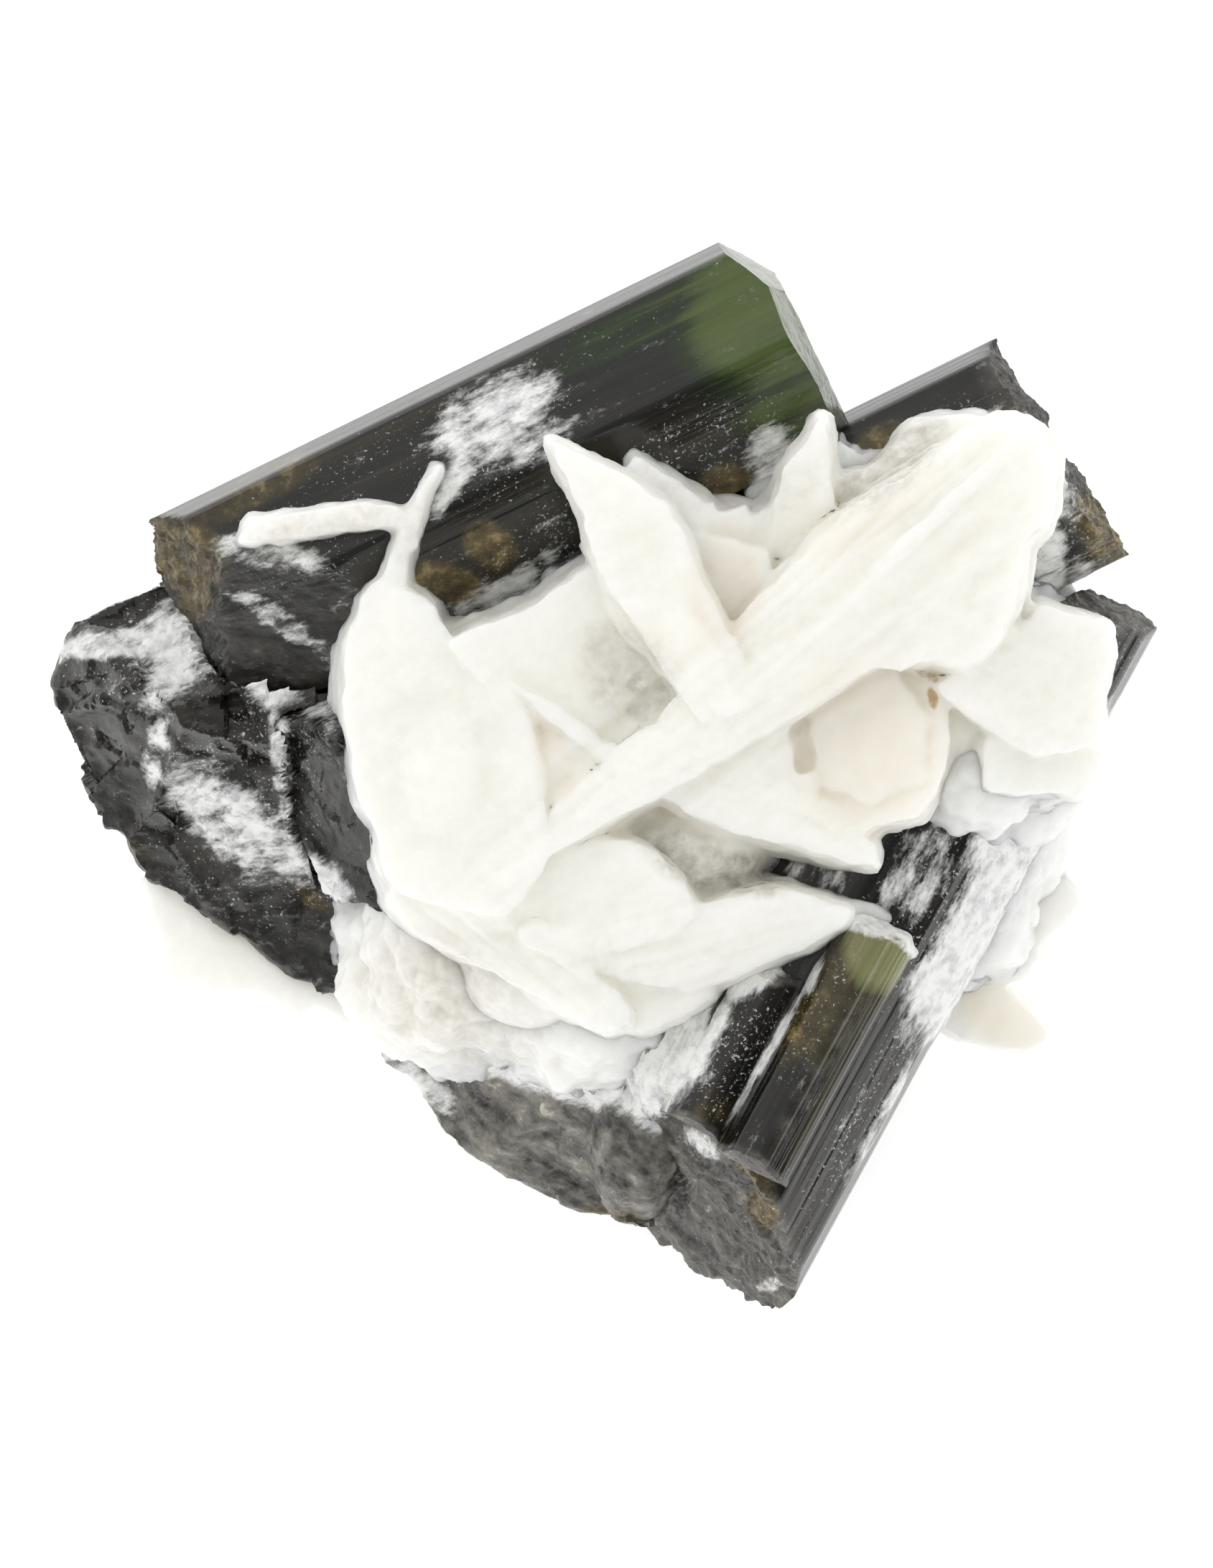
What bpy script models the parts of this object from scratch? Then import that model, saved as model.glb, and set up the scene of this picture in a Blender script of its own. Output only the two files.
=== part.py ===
"""Green tourmaline prisms grown through a rosette of white bladed albite.

The specimen lies on its back, on the flat broken underside of its matrix. Seen from above, X runs
to the right and Y up. Z is the height over that underside, and the origin is the middle of the
footprint. Sizes and places below are in millimetres, and MM turns them into metres.
"""
import math

import bmesh
import bpy
from mathutils import Matrix, Vector, noise

MM = 0.001
GAP = 0.3  # the room between a crystal and whatever it has grown through
UPPER_TREND = 26.0  # degrees from +X of the three upper prisms and the left one
LOWER_TREND = 61.5  # degrees from +X of the prisms at the bottom
BREAK_DEPTH = 0.35  # how deep a broken end is dished and stepped
BREAK_SHARE = 0.76  # how much of a broken end's width the dish takes
SMALL_BREAK = 2.0  # square millimetres: a smaller break stays flat

# Colour and roughness of each piece.
FINISHES = {
    "tourmaline_long": ((0.036, 0.052, 0.026, 1.0), 0.12),
    "tourmaline_middle": ((0.024, 0.024, 0.024, 1.0), 0.35),
    "tourmaline_left": ((0.022, 0.026, 0.022, 1.0), 0.25),
    "tourmaline_right": ((0.030, 0.028, 0.020, 1.0), 0.18),
    "tourmaline_lower": ((0.028, 0.034, 0.022, 1.0), 0.15),
    "tourmaline_stub": ((0.026, 0.027, 0.025, 1.0), 0.30),
    "albite_cluster": ((0.86, 0.85, 0.79, 1.0), 0.50),
}
LOOSE_TABLE = 40.0  # half the width of the block that cuts the underside flat


# Long prism, upper left. A section is a list of (across, height) corners, where across is the
# distance from the line through the origin along the trend, positive to its left.
LONG_SECTION = [
    (17.45, 10.9), (16.85, 13.4), (14.2, 15.1), (12.65, 15.7), (10.4, 14.5),
    (8.05, 12.1), (8.5, 9.7), (11.1, 7.5), (14.3, 7.3), (16.7, 8.7),
]
LONG_START, LONG_FINISH = -12.3, 15.1

MIDDLE_SECTION = [
    (7.7, 10.5), (6.6, 13.3), (3.6, 14.8), (0.6, 13.3), (-0.5, 10.3), (0.7, 7.4), (3.7, 6.2), (6.6, 7.6),
]
MIDDLE_START, MIDDLE_FINISH = -11.8, -2.5

RIGHT_SECTION = [
    (9.2, 8.9), (8.65, 11.2), (4.6, 13.5), (0.4, 12.0), (-1.0, 9.0), (-0.4, 5.2), (4.2, 3.4), (8.2, 5.0),
]
RIGHT_START, RIGHT_FINISH = 8.5, 23.3

LOWER_SECTION = [
    (-16.5, 7.6), (-16.2, 9.6), (-14.0, 12.3), (-10.9, 13.2), (-8.2, 12.9), (-5.2, 9.8),
    (-5.3, 7.0), (-7.3, 3.8), (-10.5, 2.5), (-14.0, 3.2), (-16.0, 5.4),
]
LOWER_START, LOWER_FINISH = -15.6, 17.2
SHORT_SECTION = [
    (-14.1, 11.4), (-13.95, 13.8), (-12.6, 15.1), (-11.4, 14.7), (-10.85, 13.4), (-10.85, 11.4),
]
SHORT_START, SHORT_FINISH = -10.7, 0.5
SIDE_SECTION = [(-11.0, 11.4), (-10.75, 13.6), (-9.6, 14.2), (-8.4, 13.4), (-8.1, 11.4)]
SIDE_START, SIDE_FINISH = -10.4, -3.0

# Outlines seen from above.
LEFT_OUTLINE = [
    (-21.2, 6.4), (-14.7, 9.6), (-9.4, 4.5), (-8.3, -3.2), (-10.0, -5.5), (-10.6, -6.6), (-11.1, -8.1),
    (-12.4, -7.7), (-13.6, -6.9), (-15.0, -5.8), (-17.0, -4.6), (-18.2, -4.0), (-18.9, -3.1),
    (-19.3, -2.1), (-20.1, -1.8), (-20.7, 0.0), (-21.3, 1.4), (-22.0, 3.0), (-22.0, 4.2),
]
LEFT_LOW, LEFT_HIGH = 1.6, 11.0
STUB_OUTLINE = [
    (-9.1, -10.6), (-8.8, -11.2), (-7.6, -11.9), (-7.0, -13.1), (-6.4, -14.1), (-5.5, -14.8),
    (-4.0, -15.8), (-2.6, -16.4), (-1.0, -17.1), (1.0, -17.5), (3.2, -12.0), (0.5, -8.0), (-6.5, -7.5),
]
STUB_LOW, STUB_HIGH = 1.0, 9.0

# The matrix is a heap of lumps: (centre, radii).
MATRIX_LUMPS = [
    ((2.0, -0.5, 2.3), (13.5, 11.0, 3.6)),
    ((1.0, 2.0, 6.6), (11.6, 10.6, 8.2)),
    ((-5.2, -6.6, 5.2), (6.0, 5.0, 6.9)),
    ((11.5, 5.8, 7.2), (7.4, 7.0, 8.4)),
    ((0.2, -8.6, 5.6), (5.4, 4.2, 7.6)),
    ((9.5, 11.0, 8.0), (4.6, 3.4, 6.2)),
    ((-6.5, 3.0, 8.0), (4.0, 5.6, 7.0)),
    ((14.0, -2.6, 4.6), (4.6, 5.8, 4.8)),
    ((15.3, 1.0, 10.2), (3.9, 3.6, 4.6)),
    ((7.7, 9.1, 11.2), (2.7, 2.4, 4.4)),
]
LUMP_NOISE = 0.9

# Each blade is a flat plate: outline seen from above, height of its upper face over the outline's
# middle, dip in degrees, the way it dips (degrees from +X), and thickness.
BLADES = {
    "left_plate": (
        [(-8.9, 8.2), (-9.8, 7.4), (-9.7, 6.9), (-10.3, 5.8), (-10.4, 3.0), (-10.0, 1.0), (-9.7, -0.8),
         (-9.0, -1.6), (-9.0, -3.0), (-8.3, -4.3), (-6.2, -5.0), (-4.0, -5.4), (-2.3, -3.4), (-2.3, -1.3),
         (-2.4, 1.2), (-3.0, 2.7), (-4.0, 4.9), (-5.1, 6.3), (-6.0, 5.5), (-6.7, 5.4), (-6.9, 7.4),
         (-7.9, 7.8)],
        17.3, 15, 200, 4.4),
    "left_ledge": (
        [(-8.6, 4.5), (-8.9, 1.0), (-7.8, -2.4), (-5.4, -3.9), (-3.2, -3.2), (-3.0, 0.8), (-4.2, 3.6),
         (-6.3, 4.7)],
        18.2, 15, 190, 2.2),
    "pit_slope": (
        [(-6.4, 5.5), (-5.0, 6.3), (-3.8, 6.7), (-2.7, 7.2), (-1.2, 8.3), (-0.5, 8.8), (0.2, 7.4),
         (1.0, 5.2), (1.2, 3.2), (0.0, 1.4), (-2.4, 2.6), (-4.2, 3.6)],
        15.9, 30, 345, 4.5),
    "north_leaf": (
        [(-2.3, 13.8), (-1.2, 13.2), (0.2, 12.5), (1.4, 11.9), (2.6, 11.0), (3.1, 10.0), (4.0, 7.8),
         (5.0, 5.9), (6.1, 3.3), (3.9, 2.4), (2.6, 4.2), (1.4, 6.2), (0.1, 7.7), (-0.6, 9.2), (-0.8, 10.7),
         (-1.9, 12.6)],
        19.3, 16, 290, 3.0),
    "nub": (
        [(-0.6, 8.7), (0.4, 8.7), (0.9, 8.1), (0.8, 7.4), (0.2, 7.2), (-0.4, 7.8)],
        18.0, 25, 250, 3.0),
    "cross_blade": (
        [(-4.0, 4.2), (-2.4, 3.5), (-0.9, 2.5), (0.3, 1.5), (1.8, 0.7), (4.0, 0.1), (7.0, -0.6),
         (10.0, -1.8), (11.0, -3.0), (10.6, -3.4), (7.0, -2.4), (5.0, -2.0), (3.4, -1.3), (2.2, -0.6),
         (0.8, 0.2), (-0.4, 1.0), (-1.3, 1.9), (-2.6, 2.8)],
        17.4, 9, 325, 6.0),
    "fan_low": (
        [(-4.2, -4.4), (-2.3, -3.0), (-0.3, -1.8), (2.3, -0.5), (5.0, 1.1), (7.4, 2.5), (9.5, 3.9),
         (11.2, 4.95), (12.9, 4.8), (14.4, 4.6), (16.3, 5.7), (16.2, 7.1), (13.0, 7.3), (10.0, 6.5),
         (7.0, 5.0), (4.5, 3.2), (1.0, 1.2), (-1.2, -0.2), (-3.6, -2.8)],
        19.7, 19, 303, 4.6),
    "fan_second": (
        [(4.6, 3.0), (7.0, 4.2), (10.0, 6.0), (13.0, 6.9), (16.3, 7.0), (16.9, 8.5), (17.0, 9.9),
         (13.5, 9.4), (10.0, 8.1), (7.4, 6.8), (5.0, 5.2)],
        18.9, 21, 300, 4.6),
    "fan_third": (
        [(5.6, 5.0), (7.4, 6.1), (10.0, 7.6), (13.5, 9.0), (17.1, 9.8), (18.2, 10.5), (18.3, 12.2),
         (14.0, 11.4), (10.5, 9.8), (8.0, 8.6), (6.2, 7.2)],
        18.0, 24, 297, 4.6),
    "fan_fourth": (
        [(7.4, 7.9), (10.5, 9.4), (14.0, 11.0), (18.2, 12.0), (18.3, 13.0), (17.1, 14.1), (15.4, 14.1),
         (12.5, 12.4), (10.0, 10.7), (8.3, 9.6)],
        17.0, 26, 294, 4.6),
    "fan_crust": (
        [(9.2, 12.1), (9.2, 9.6), (10.6, 10.0), (12.9, 12.0), (15.6, 13.8), (15.2, 14.6), (13.7, 14.6),
         (12.2, 14.4), (11.2, 13.1), (10.3, 12.4)],
        15.6, 12, 120, 3.0),
    "tooth": (
        [(8.1, 13.8), (8.5, 14.7), (8.85, 14.4), (9.05, 12.3), (9.1, 10.2), (8.7, 9.0), (6.5, 9.0),
         (6.6, 11.0), (7.2, 12.7)],
        17.0, 24, 262, 3.4),
    "sliver": (
        [(1.0, 12.0), (1.0, 13.1), (1.5, 13.05), (2.7, 12.2), (3.9, 11.4), (4.4, 10.9), (5.8, 10.6),
         (6.6, 11.2), (6.7, 9.2), (5.5, 9.3), (3.2, 9.9), (2.2, 11.0)],
        16.4, 14, 300, 2.6),
    "window_plate": (
        [(2.9, 10.2), (5.8, 9.5), (6.5, 9.4), (6.6, 7.8), (6.4, 6.6), (5.6, 5.0), (4.6, 5.2), (3.6, 7.6)],
        15.5, 12, 200, 2.6),
    "beige_plate": (
        [(7.3, 2.4), (9.5, 4.1), (11.2, 5.0), (12.9, 4.9), (13.3, 3.7), (13.7, 2.9), (13.7, 1.0),
         (13.3, 0.0), (12.6, -1.4), (11.0, -1.7), (10.0, -2.1), (8.2, -1.4), (7.6, -0.4), (7.3, 1.0)],
        16.2, 9, 150, 3.6),
    "right_plate": (
        [(13.0, 3.9), (14.5, 4.7), (16.3, 5.7), (17.2, 7.2), (18.9, 6.7), (20.1, 6.4), (20.2, 5.2),
         (19.8, 4.0), (19.7, 2.7), (19.9, 1.5), (17.0, 1.0), (15.4, 2.0), (13.6, 3.3)],
        16.4, 21, 350, 3.6),
    "right_step": (
        [(15.3, 2.2), (17.0, 1.2), (19.7, 1.1), (19.7, 0.2), (18.9, -0.6), (17.5, -0.3), (16.0, -0.5),
         (15.0, -0.3), (14.9, 1.4)],
        14.9, 22, 330, 2.6),
    "south_round": (
        [(-0.4, -2.2), (1.1, -2.1), (2.2, -2.8), (3.1, -3.7), (3.6, -4.5), (3.8, -5.2), (2.4, -6.2),
         (0.0, -6.6), (-2.6, -6.0), (-3.8, -4.6), (-2.6, -3.1)],
        16.7, 16, 250, 4.8),
    "south_band": (
        [(3.4, -4.9), (4.3, -4.7), (5.5, -4.3), (6.9, -4.0), (8.5, -4.5), (10.0, -4.9), (9.6, -5.7),
         (8.2, -6.6), (7.0, -7.0), (5.5, -7.7), (3.5, -8.3), (1.2, -7.9), (-1.0, -7.2), (-3.4, -6.4),
         (-3.2, -5.4), (0.0, -6.0), (2.4, -5.6)],
        15.9, 20, 285, 4.6),
    "south_rim": (
        [(-5.2, -5.6), (-3.6, -5.7), (-1.2, -6.6), (1.5, -7.5), (4.0, -7.9), (4.6, -8.4), (3.2, -9.3),
         (1.5, -10.0), (0.0, -9.7), (-1.6, -8.9), (-3.2, -7.8), (-4.8, -6.9)],
        14.4, 30, 262, 4.2),
    "long_strip": (
        [(-14.6, 9.4), (-14.1, 10.6), (-11.6, 11.0), (-9.2, 11.35), (-7.6, 10.9), (-7.9, 10.1),
         (-10.5, 9.9), (-12.8, 9.35)],
        16.8, 5, 200, 2.2),
    "strip_stem": (
        [(-9.1, 7.9), (-8.7, 8.8), (-8.3, 10.2), (-8.2, 10.9), (-7.6, 11.3), (-7.2, 11.0), (-7.5, 9.8),
         (-7.7, 8.8), (-7.8, 7.4)],
        17.2, 4, 200, 3.4),
    "back_blade_left": (
        [(-18.7, -3.8), (-18.2, -5.6), (-17.5, -8.1), (-14.0, -8.1), (-11.6, -8.8), (-9.4, -10.3),
         (-7.0, -8.0), (-8.0, -4.5), (-13.0, -2.5)],
        3.6, 10, 220, 1.5),
    "back_blade_right": (
        [(11.5, -6.5), (15.0, -8.1), (17.1, -7.7), (17.7, -6.2), (19.4, -4.9), (18.7, -3.9), (17.6, -2.6),
         (14.0, 0.5)],
        5.2, 14, 20, 1.6),
    "back_blade_tip": (
        [(12.0, -7.8), (13.7, -10.1), (15.5, -10.6), (17.0, -10.85), (18.0, -10.3), (17.7, -9.6),
         (16.9, -8.7), (15.6, -7.8), (13.5, -6.0)],
        4.2, 12, 320, 1.7),
}
RIM_CHAMFER = 0.22


def clear_scene():
    for old in list(bpy.data.objects):
        bpy.data.objects.remove(old, do_unlink=True)


def collection(name, hidden=False):
    made = bpy.data.collections.new(name)
    made.hide_render = hidden
    bpy.context.scene.collection.children.link(made)
    return made


def stone(name):
    colour, roughness = FINISHES[name]
    made = bpy.data.materials.new(name)
    made.use_nodes = True
    shader = made.node_tree.nodes["Principled BSDF"]
    shader.inputs["Base Color"].default_value = colour
    shader.inputs["Roughness"].default_value = roughness
    shader.inputs["Metallic"].default_value = 0.0
    return made


def place(bm, name, home):
    """Turns a bmesh in millimetres into an object in metres, with its own material or as a cutter."""
    bmesh.ops.recalc_face_normals(bm, faces=bm.faces)
    bmesh.ops.scale(bm, vec=(MM, MM, MM), verts=bm.verts)
    mesh = bpy.data.meshes.new(name)
    bm.to_mesh(mesh)
    bm.free()
    made = bpy.data.objects.new(name, mesh)
    home.objects.link(made)
    if name in FINISHES:
        mesh.materials.append(stone(name))
    else:
        made.hide_render = True
        made.display_type = "WIRE"
    return made


def extruded(points, along):
    """A closed solid swept from a flat outline."""
    bm = bmesh.new()
    face = bm.faces.new([bm.verts.new(point) for point in points])
    swept = bmesh.ops.extrude_face_region(bm, geom=[face])
    moved = [item for item in swept["geom"] if isinstance(item, bmesh.types.BMVert)]
    bmesh.ops.translate(bm, vec=along, verts=moved)
    bmesh.ops.recalc_face_normals(bm, faces=bm.faces)
    return bm


def trim(bm, cuts):
    """Cuts the solid flat at each (point, outward direction) and closes it."""
    for point, outward in cuts:
        geometry = [*bm.verts, *bm.edges, *bm.faces]
        bmesh.ops.bisect_plane(
            bm, geom=geometry, dist=1e-5, plane_co=point, plane_no=outward, clear_outer=True
        )
        rim = [edge for edge in bm.edges if edge.is_boundary]
        bmesh.ops.holes_fill(bm, edges=rim, sides=0)
    bmesh.ops.recalc_face_normals(bm, faces=bm.faces)


def on_cut(face, point, outward):
    """Whether the face lies in the cut's plane."""
    direction = Vector(outward).normalized()
    depth = (face.calc_center_median() - Vector(point)).dot(direction)
    return face.normal.dot(direction) > 0.9999 and abs(depth) < 0.001


def roughen(bm, cuts, seed):
    """Breaks each cut face into a shallow dish, with facets that follow from their places alone."""
    for count, (point, outward) in enumerate(cuts):
        bm.normal_update()
        for face in [face for face in bm.faces if on_cut(face, point, outward)]:
            if face.calc_area() < SMALL_BREAK:
                continue
            inward = -face.normal
            middle = face.calc_center_median_weighted()
            dish = bmesh.ops.extrude_discrete_faces(bm, faces=[face])["faces"][0]
            inner = list(dish.verts)
            for vert in inner:
                vert.co = middle.lerp(vert.co, BREAK_SHARE)
            inner += bmesh.ops.poke(bm, faces=[dish])["verts"]
            for vert in inner:
                where = vert.co * 0.8 + Vector((0, 0, seed * 7.3 + count))
                vert.co += inward * BREAK_DEPTH * (0.3 + 2.0 * abs(noise.noise(where)))
    bmesh.ops.triangulate(bm, faces=bm.faces, quad_method="SHORT_EDGE", ngon_method="BEAUTY")


def swell(bm, amount):
    """Moves every face outwards by the amount."""
    bm.normal_update()
    moves = [(vert, vert.normal * vert.calc_shell_factor() * amount) for vert in bm.verts]
    for vert, move in moves:
        vert.co += move


def prism_form(trend, section, start, finish, cuts, seed):
    """A prism along its trend; cuts are (along, across, height) points and directions."""
    points = [(start, across, height) for across, height in section]
    bm = extruded(points, (finish - start, 0, 0))
    trim(bm, cuts)
    if seed is not None:
        roughen(bm, cuts, seed)
    turn = Matrix.Rotation(math.radians(trend), 3, "Z")
    bmesh.ops.rotate(bm, cent=(0, 0, 0), matrix=turn, verts=bm.verts)
    return bm


def column_form(outline, low, high, cuts, seed):
    """An upright block over an outline, with cuts in world directions."""
    bm = extruded([(x, y, low) for x, y in outline], (0, 0, high - low))
    trim(bm, cuts)
    if seed is not None:
        roughen(bm, cuts, seed)
    return bm


def blade_form(outline, height, dip, toward, thickness):
    """A flat plate with chamfered upper edges."""
    middle = sum((Vector(point) for point in outline), Vector((0, 0))) / len(outline)
    slope = math.tan(math.radians(dip))
    downhill = Vector((math.cos(math.radians(toward)), math.sin(math.radians(toward))))
    points = []
    for point in outline:
        fall = (Vector(point) - middle).dot(downhill) * slope
        points.append((point[0], point[1], height - fall))
    up = Vector((downhill.x * slope, downhill.y * slope, 1)).normalized()
    bm = extruded(points, (0, 0, -thickness))
    bm.normal_update()
    rim = [edge for edge in bm.edges if any(face.normal.dot(up) > 0.99 for face in edge.link_faces)]
    bmesh.ops.bevel(
        bm, geom=rim, offset=RIM_CHAMFER, offset_type="OFFSET", affect="EDGES",
        segments=1, profile=0.5, material=-1, clamp_overlap=True,
    )
    return bm


def lump_form(centre, radii, seed):
    """A rounded lump with an uneven skin."""
    bm = bmesh.new()
    bmesh.ops.create_icosphere(bm, subdivisions=3, radius=1.0)
    bmesh.ops.scale(bm, vec=radii, verts=bm.verts)
    bmesh.ops.translate(bm, vec=centre, verts=bm.verts)
    bm.normal_update()
    for vert in bm.verts:
        where = vert.co * 0.32 + Vector((seed * 5.1, 0, 0))
        vert.co += vert.normal * noise.noise(where) * LUMP_NOISE
    return bm


def boolean(target, tool, operation):
    step = target.modifiers.new(tool.name, "BOOLEAN")
    step.operation = operation
    step.object = tool
    step.solver = "EXACT"


def apply_modifiers(target):
    """Keeps the evaluated shape as the object's own mesh."""
    graph = bpy.context.evaluated_depsgraph_get()
    shaped = bpy.data.meshes.new_from_object(target.evaluated_get(graph))
    target.modifiers.clear()
    target.data = shaped


def keep_largest(target):
    """Drops crumbs that the cutting has left loose beside the main body."""
    bm = bmesh.new()
    bm.from_mesh(target.data)
    unseen = set(bm.verts)
    islands = []
    while unseen:
        island, edge_of = set(), [unseen.pop()]
        while edge_of:
            vert = edge_of.pop()
            island.add(vert)
            for edge in vert.link_edges:
                other = edge.other_vert(vert)
                if other in unseen:
                    unseen.remove(other)
                    edge_of.append(other)
        islands.append(island)
    islands.sort(key=len)
    crumbs = [vert for island in islands[:-1] for vert in island]
    bmesh.ops.delete(bm, geom=crumbs, context="VERTS")
    bm.to_mesh(target.data)
    bm.free()
    return len(islands) - 1


# A crystal's forms, as fresh bmeshes. With a seed their cut ends are broken, and without one flat.
def long_forms(seed):
    cuts = [
        ((-12.1, 17.0, 9.5), (-0.94, 0.0, 0.33)),
        ((-10.2, 14.7, 15.0), (-0.42, -0.58, 0.70)),
        ((13.5, 17.4, 11.5), (0.86, 0.50, 0.10)),
        ((15.0, 12.7, 13.0), (0.97, 0.0, 0.24)),
        ((14.9, 8.6, 10.5), (0.93, -0.30, 0.20)),
    ]
    return [prism_form(UPPER_TREND, LONG_SECTION, LONG_START, LONG_FINISH, cuts, seed)]


def middle_forms(seed):
    cuts = [
        ((-11.7, 1.0, 8.2), (-0.87, -0.05, 0.49)),
        ((-9.6, 7.0, 13.0), (-0.72, 0.45, 0.53)),
    ]
    return [prism_form(UPPER_TREND, MIDDLE_SECTION, MIDDLE_START, MIDDLE_FINISH, cuts, seed)]


def right_forms(seed):
    cuts = [
        ((21.2, 8.8, 11.2), (0.90, 0.20, 0.38)),
        ((21.9, 9.2, 8.9), (0.93, 0.10, -0.35)),
        ((22.8, 1.5, 9.0), (0.97, 0.12, 0.20)),
        ((22.7, 1.5, 7.0), (0.90, 0.0, -0.44)),
    ]
    return [prism_form(UPPER_TREND, RIGHT_SECTION, RIGHT_START, RIGHT_FINISH, cuts, seed)]


def lower_forms(seed):
    beside_right = math.radians(UPPER_TREND + 90 - LOWER_TREND)
    across_right = (math.cos(beside_right), math.sin(beside_right), 0)
    touch = -1.35
    cuts = [
        ((-15.3, -16.5, 6.4), (-0.873, 0.275, 0.403)),
        ((-14.6, -9.3, 3.4), (-0.74, 0.62, 0.26)),
        ((touch * across_right[0], touch * across_right[1], 8.0), across_right),
        ((16.3, -16.3, 8.0), (0.95, 0.0, 0.30)),
        ((16.3, -16.3, 8.0), (0.90, -0.1, -0.42)),
    ]
    short_cuts = [
        ((-10.2, -12.5, 15.0), (-0.90, 0.0, 0.44)),
        ((0.45, -12.6, 13.0), (0.95, 0.0, 0.30)),
        ((-0.2, -10.9, 13.5), (0.66, 0.74, 0.16)),
        ((-0.3, -14.0, 13.5), (0.62, -0.76, 0.16)),
    ]
    side_cuts = [
        ((-10.1, -9.6, 14.2), (-0.94, 0.0, 0.34)),
        ((-3.2, -9.6, 13.6), (0.80, 0.3, 0.52)),
    ]
    return [
        prism_form(LOWER_TREND, LOWER_SECTION, LOWER_START, LOWER_FINISH, cuts, seed),
        prism_form(LOWER_TREND, SHORT_SECTION, SHORT_START, SHORT_FINISH, short_cuts, seed),
        prism_form(LOWER_TREND, SIDE_SECTION, SIDE_START, SIDE_FINISH, side_cuts, seed),
    ]


def left_forms(seed):
    cuts = [
        ((-21.2, 6.4, 6.6), (-0.28, 0.57, 0.77)),
        ((-21.8, 3.4, 5.6), (-0.76, -0.12, 0.64)),
        ((-19.9, -1.4, 5.0), (-0.66, -0.38, 0.65)),
        ((-17.2, -4.5, 4.4), (-0.42, -0.62, 0.66)),
        ((-12.0, -7.9, 4.0), (-0.30, -0.60, 0.74)),
        ((-16.0, 3.0, 10.6), (-0.22, -0.10, 0.97)),
        ((-21.4, 4.0, 3.6), (-0.70, 0.10, -0.70)),
        ((-19.5, -2.0, 3.4), (-0.60, -0.40, -0.69)),
        ((-15.0, -5.6, 3.0), (-0.40, -0.60, -0.69)),
        ((-18.0, 8.0, 4.4), (-0.30, 0.62, -0.72)),
    ]
    return [column_form(LEFT_OUTLINE, LEFT_LOW, LEFT_HIGH, cuts, seed)]


def stub_forms(seed):
    cuts = [
        ((-8.9, -11.0, 3.4), (-0.55, -0.45, 0.70)),
        ((-5.6, -14.7, 3.6), (-0.50, -0.55, 0.67)),
        ((-1.0, -17.0, 3.4), (-0.25, -0.72, 0.65)),
        ((-6.0, -14.2, 2.6), (-0.45, -0.62, -0.64)),
        ((-1.0, -17.0, 2.6), (-0.20, -0.75, -0.63)),
    ]
    return [column_form(STUB_OUTLINE, STUB_LOW, STUB_HIGH, cuts, seed)]


CRYSTALS = {
    "tourmaline_long": long_forms,
    "tourmaline_middle": middle_forms,
    "tourmaline_left": left_forms,
    "tourmaline_right": right_forms,
    "tourmaline_lower": lower_forms,
    "tourmaline_stub": stub_forms,
}
# A crystal listed here has stopped growing where it met the others.
STOPPED_BY = {
    "tourmaline_right": ("tourmaline_long",),
    "tourmaline_left": ("tourmaline_long", "tourmaline_middle"),
    "tourmaline_stub": ("tourmaline_lower",),
}


def crystal_room(name, cutters):
    """Cutters a gap larger than the crystal's forms."""
    room = []
    for number, bm in enumerate(CRYSTALS[name](None)):
        swell(bm, GAP)
        room.append(place(bm, f"room_{name}_{number}", cutters))
    return room


def build_crystal(name, parts, cutters, rooms, seed):
    """The crystal's forms joined, and cut back where it stopped against another crystal."""
    made = None
    for number, bm in enumerate(CRYSTALS[name](seed)):
        if made is None:
            made = place(bm, name, parts)
        else:
            boolean(made, place(bm, f"{name}_{number}", cutters), "UNION")
    for other in STOPPED_BY.get(name, ()):
        for cutter in rooms[other]:
            boolean(made, cutter, "DIFFERENCE")


def build_albite(parts, cutters, rooms):
    """Lumps and blades joined, cut flat below, with room for each crystal."""
    made = None
    for seed, (centre, radii) in enumerate(MATRIX_LUMPS):
        bm = lump_form(centre, radii, seed)
        if made is None:
            made = place(bm, "albite_cluster", parts)
        else:
            boolean(made, place(bm, f"lump_{seed}", cutters), "UNION")
    for name, blade in BLADES.items():
        boolean(made, place(blade_form(*blade), name, cutters), "UNION")
    corners = [(-1, -1), (1, -1), (1, 1), (-1, 1)]
    slab = [(x * LOOSE_TABLE, y * LOOSE_TABLE, -LOOSE_TABLE) for x, y in corners]
    under = extruded(slab, (0, 0, LOOSE_TABLE))
    boolean(made, place(under, "table", cutters), "DIFFERENCE")
    for room in rooms.values():
        for cutter in room:
            boolean(made, cutter, "DIFFERENCE")
    apply_modifiers(made)
    return keep_largest(made)


def main():
    clear_scene()
    parts = collection("green_tourmaline")
    cutters = collection("cutters", hidden=True)
    rooms = {name: crystal_room(name, cutters) for name in CRYSTALS}
    for seed, name in enumerate(CRYSTALS):
        build_crystal(name, parts, cutters, rooms, seed)
    crumbs = build_albite(parts, cutters, rooms)
    print("crumbs dropped from the albite:", crumbs)


main()
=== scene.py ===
# %% [markdown]
# # Green tourmaline on white albite
#
# This lesson dresses a small mineral specimen for a portrait: dark, finely grooved tourmaline
# prisms that have grown through a rosette of white albite blades. The measured model comes first,
# as a frame. Every new piece is built in millimetres, in that same frame, and turned into metres
# when it is finished.

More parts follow.
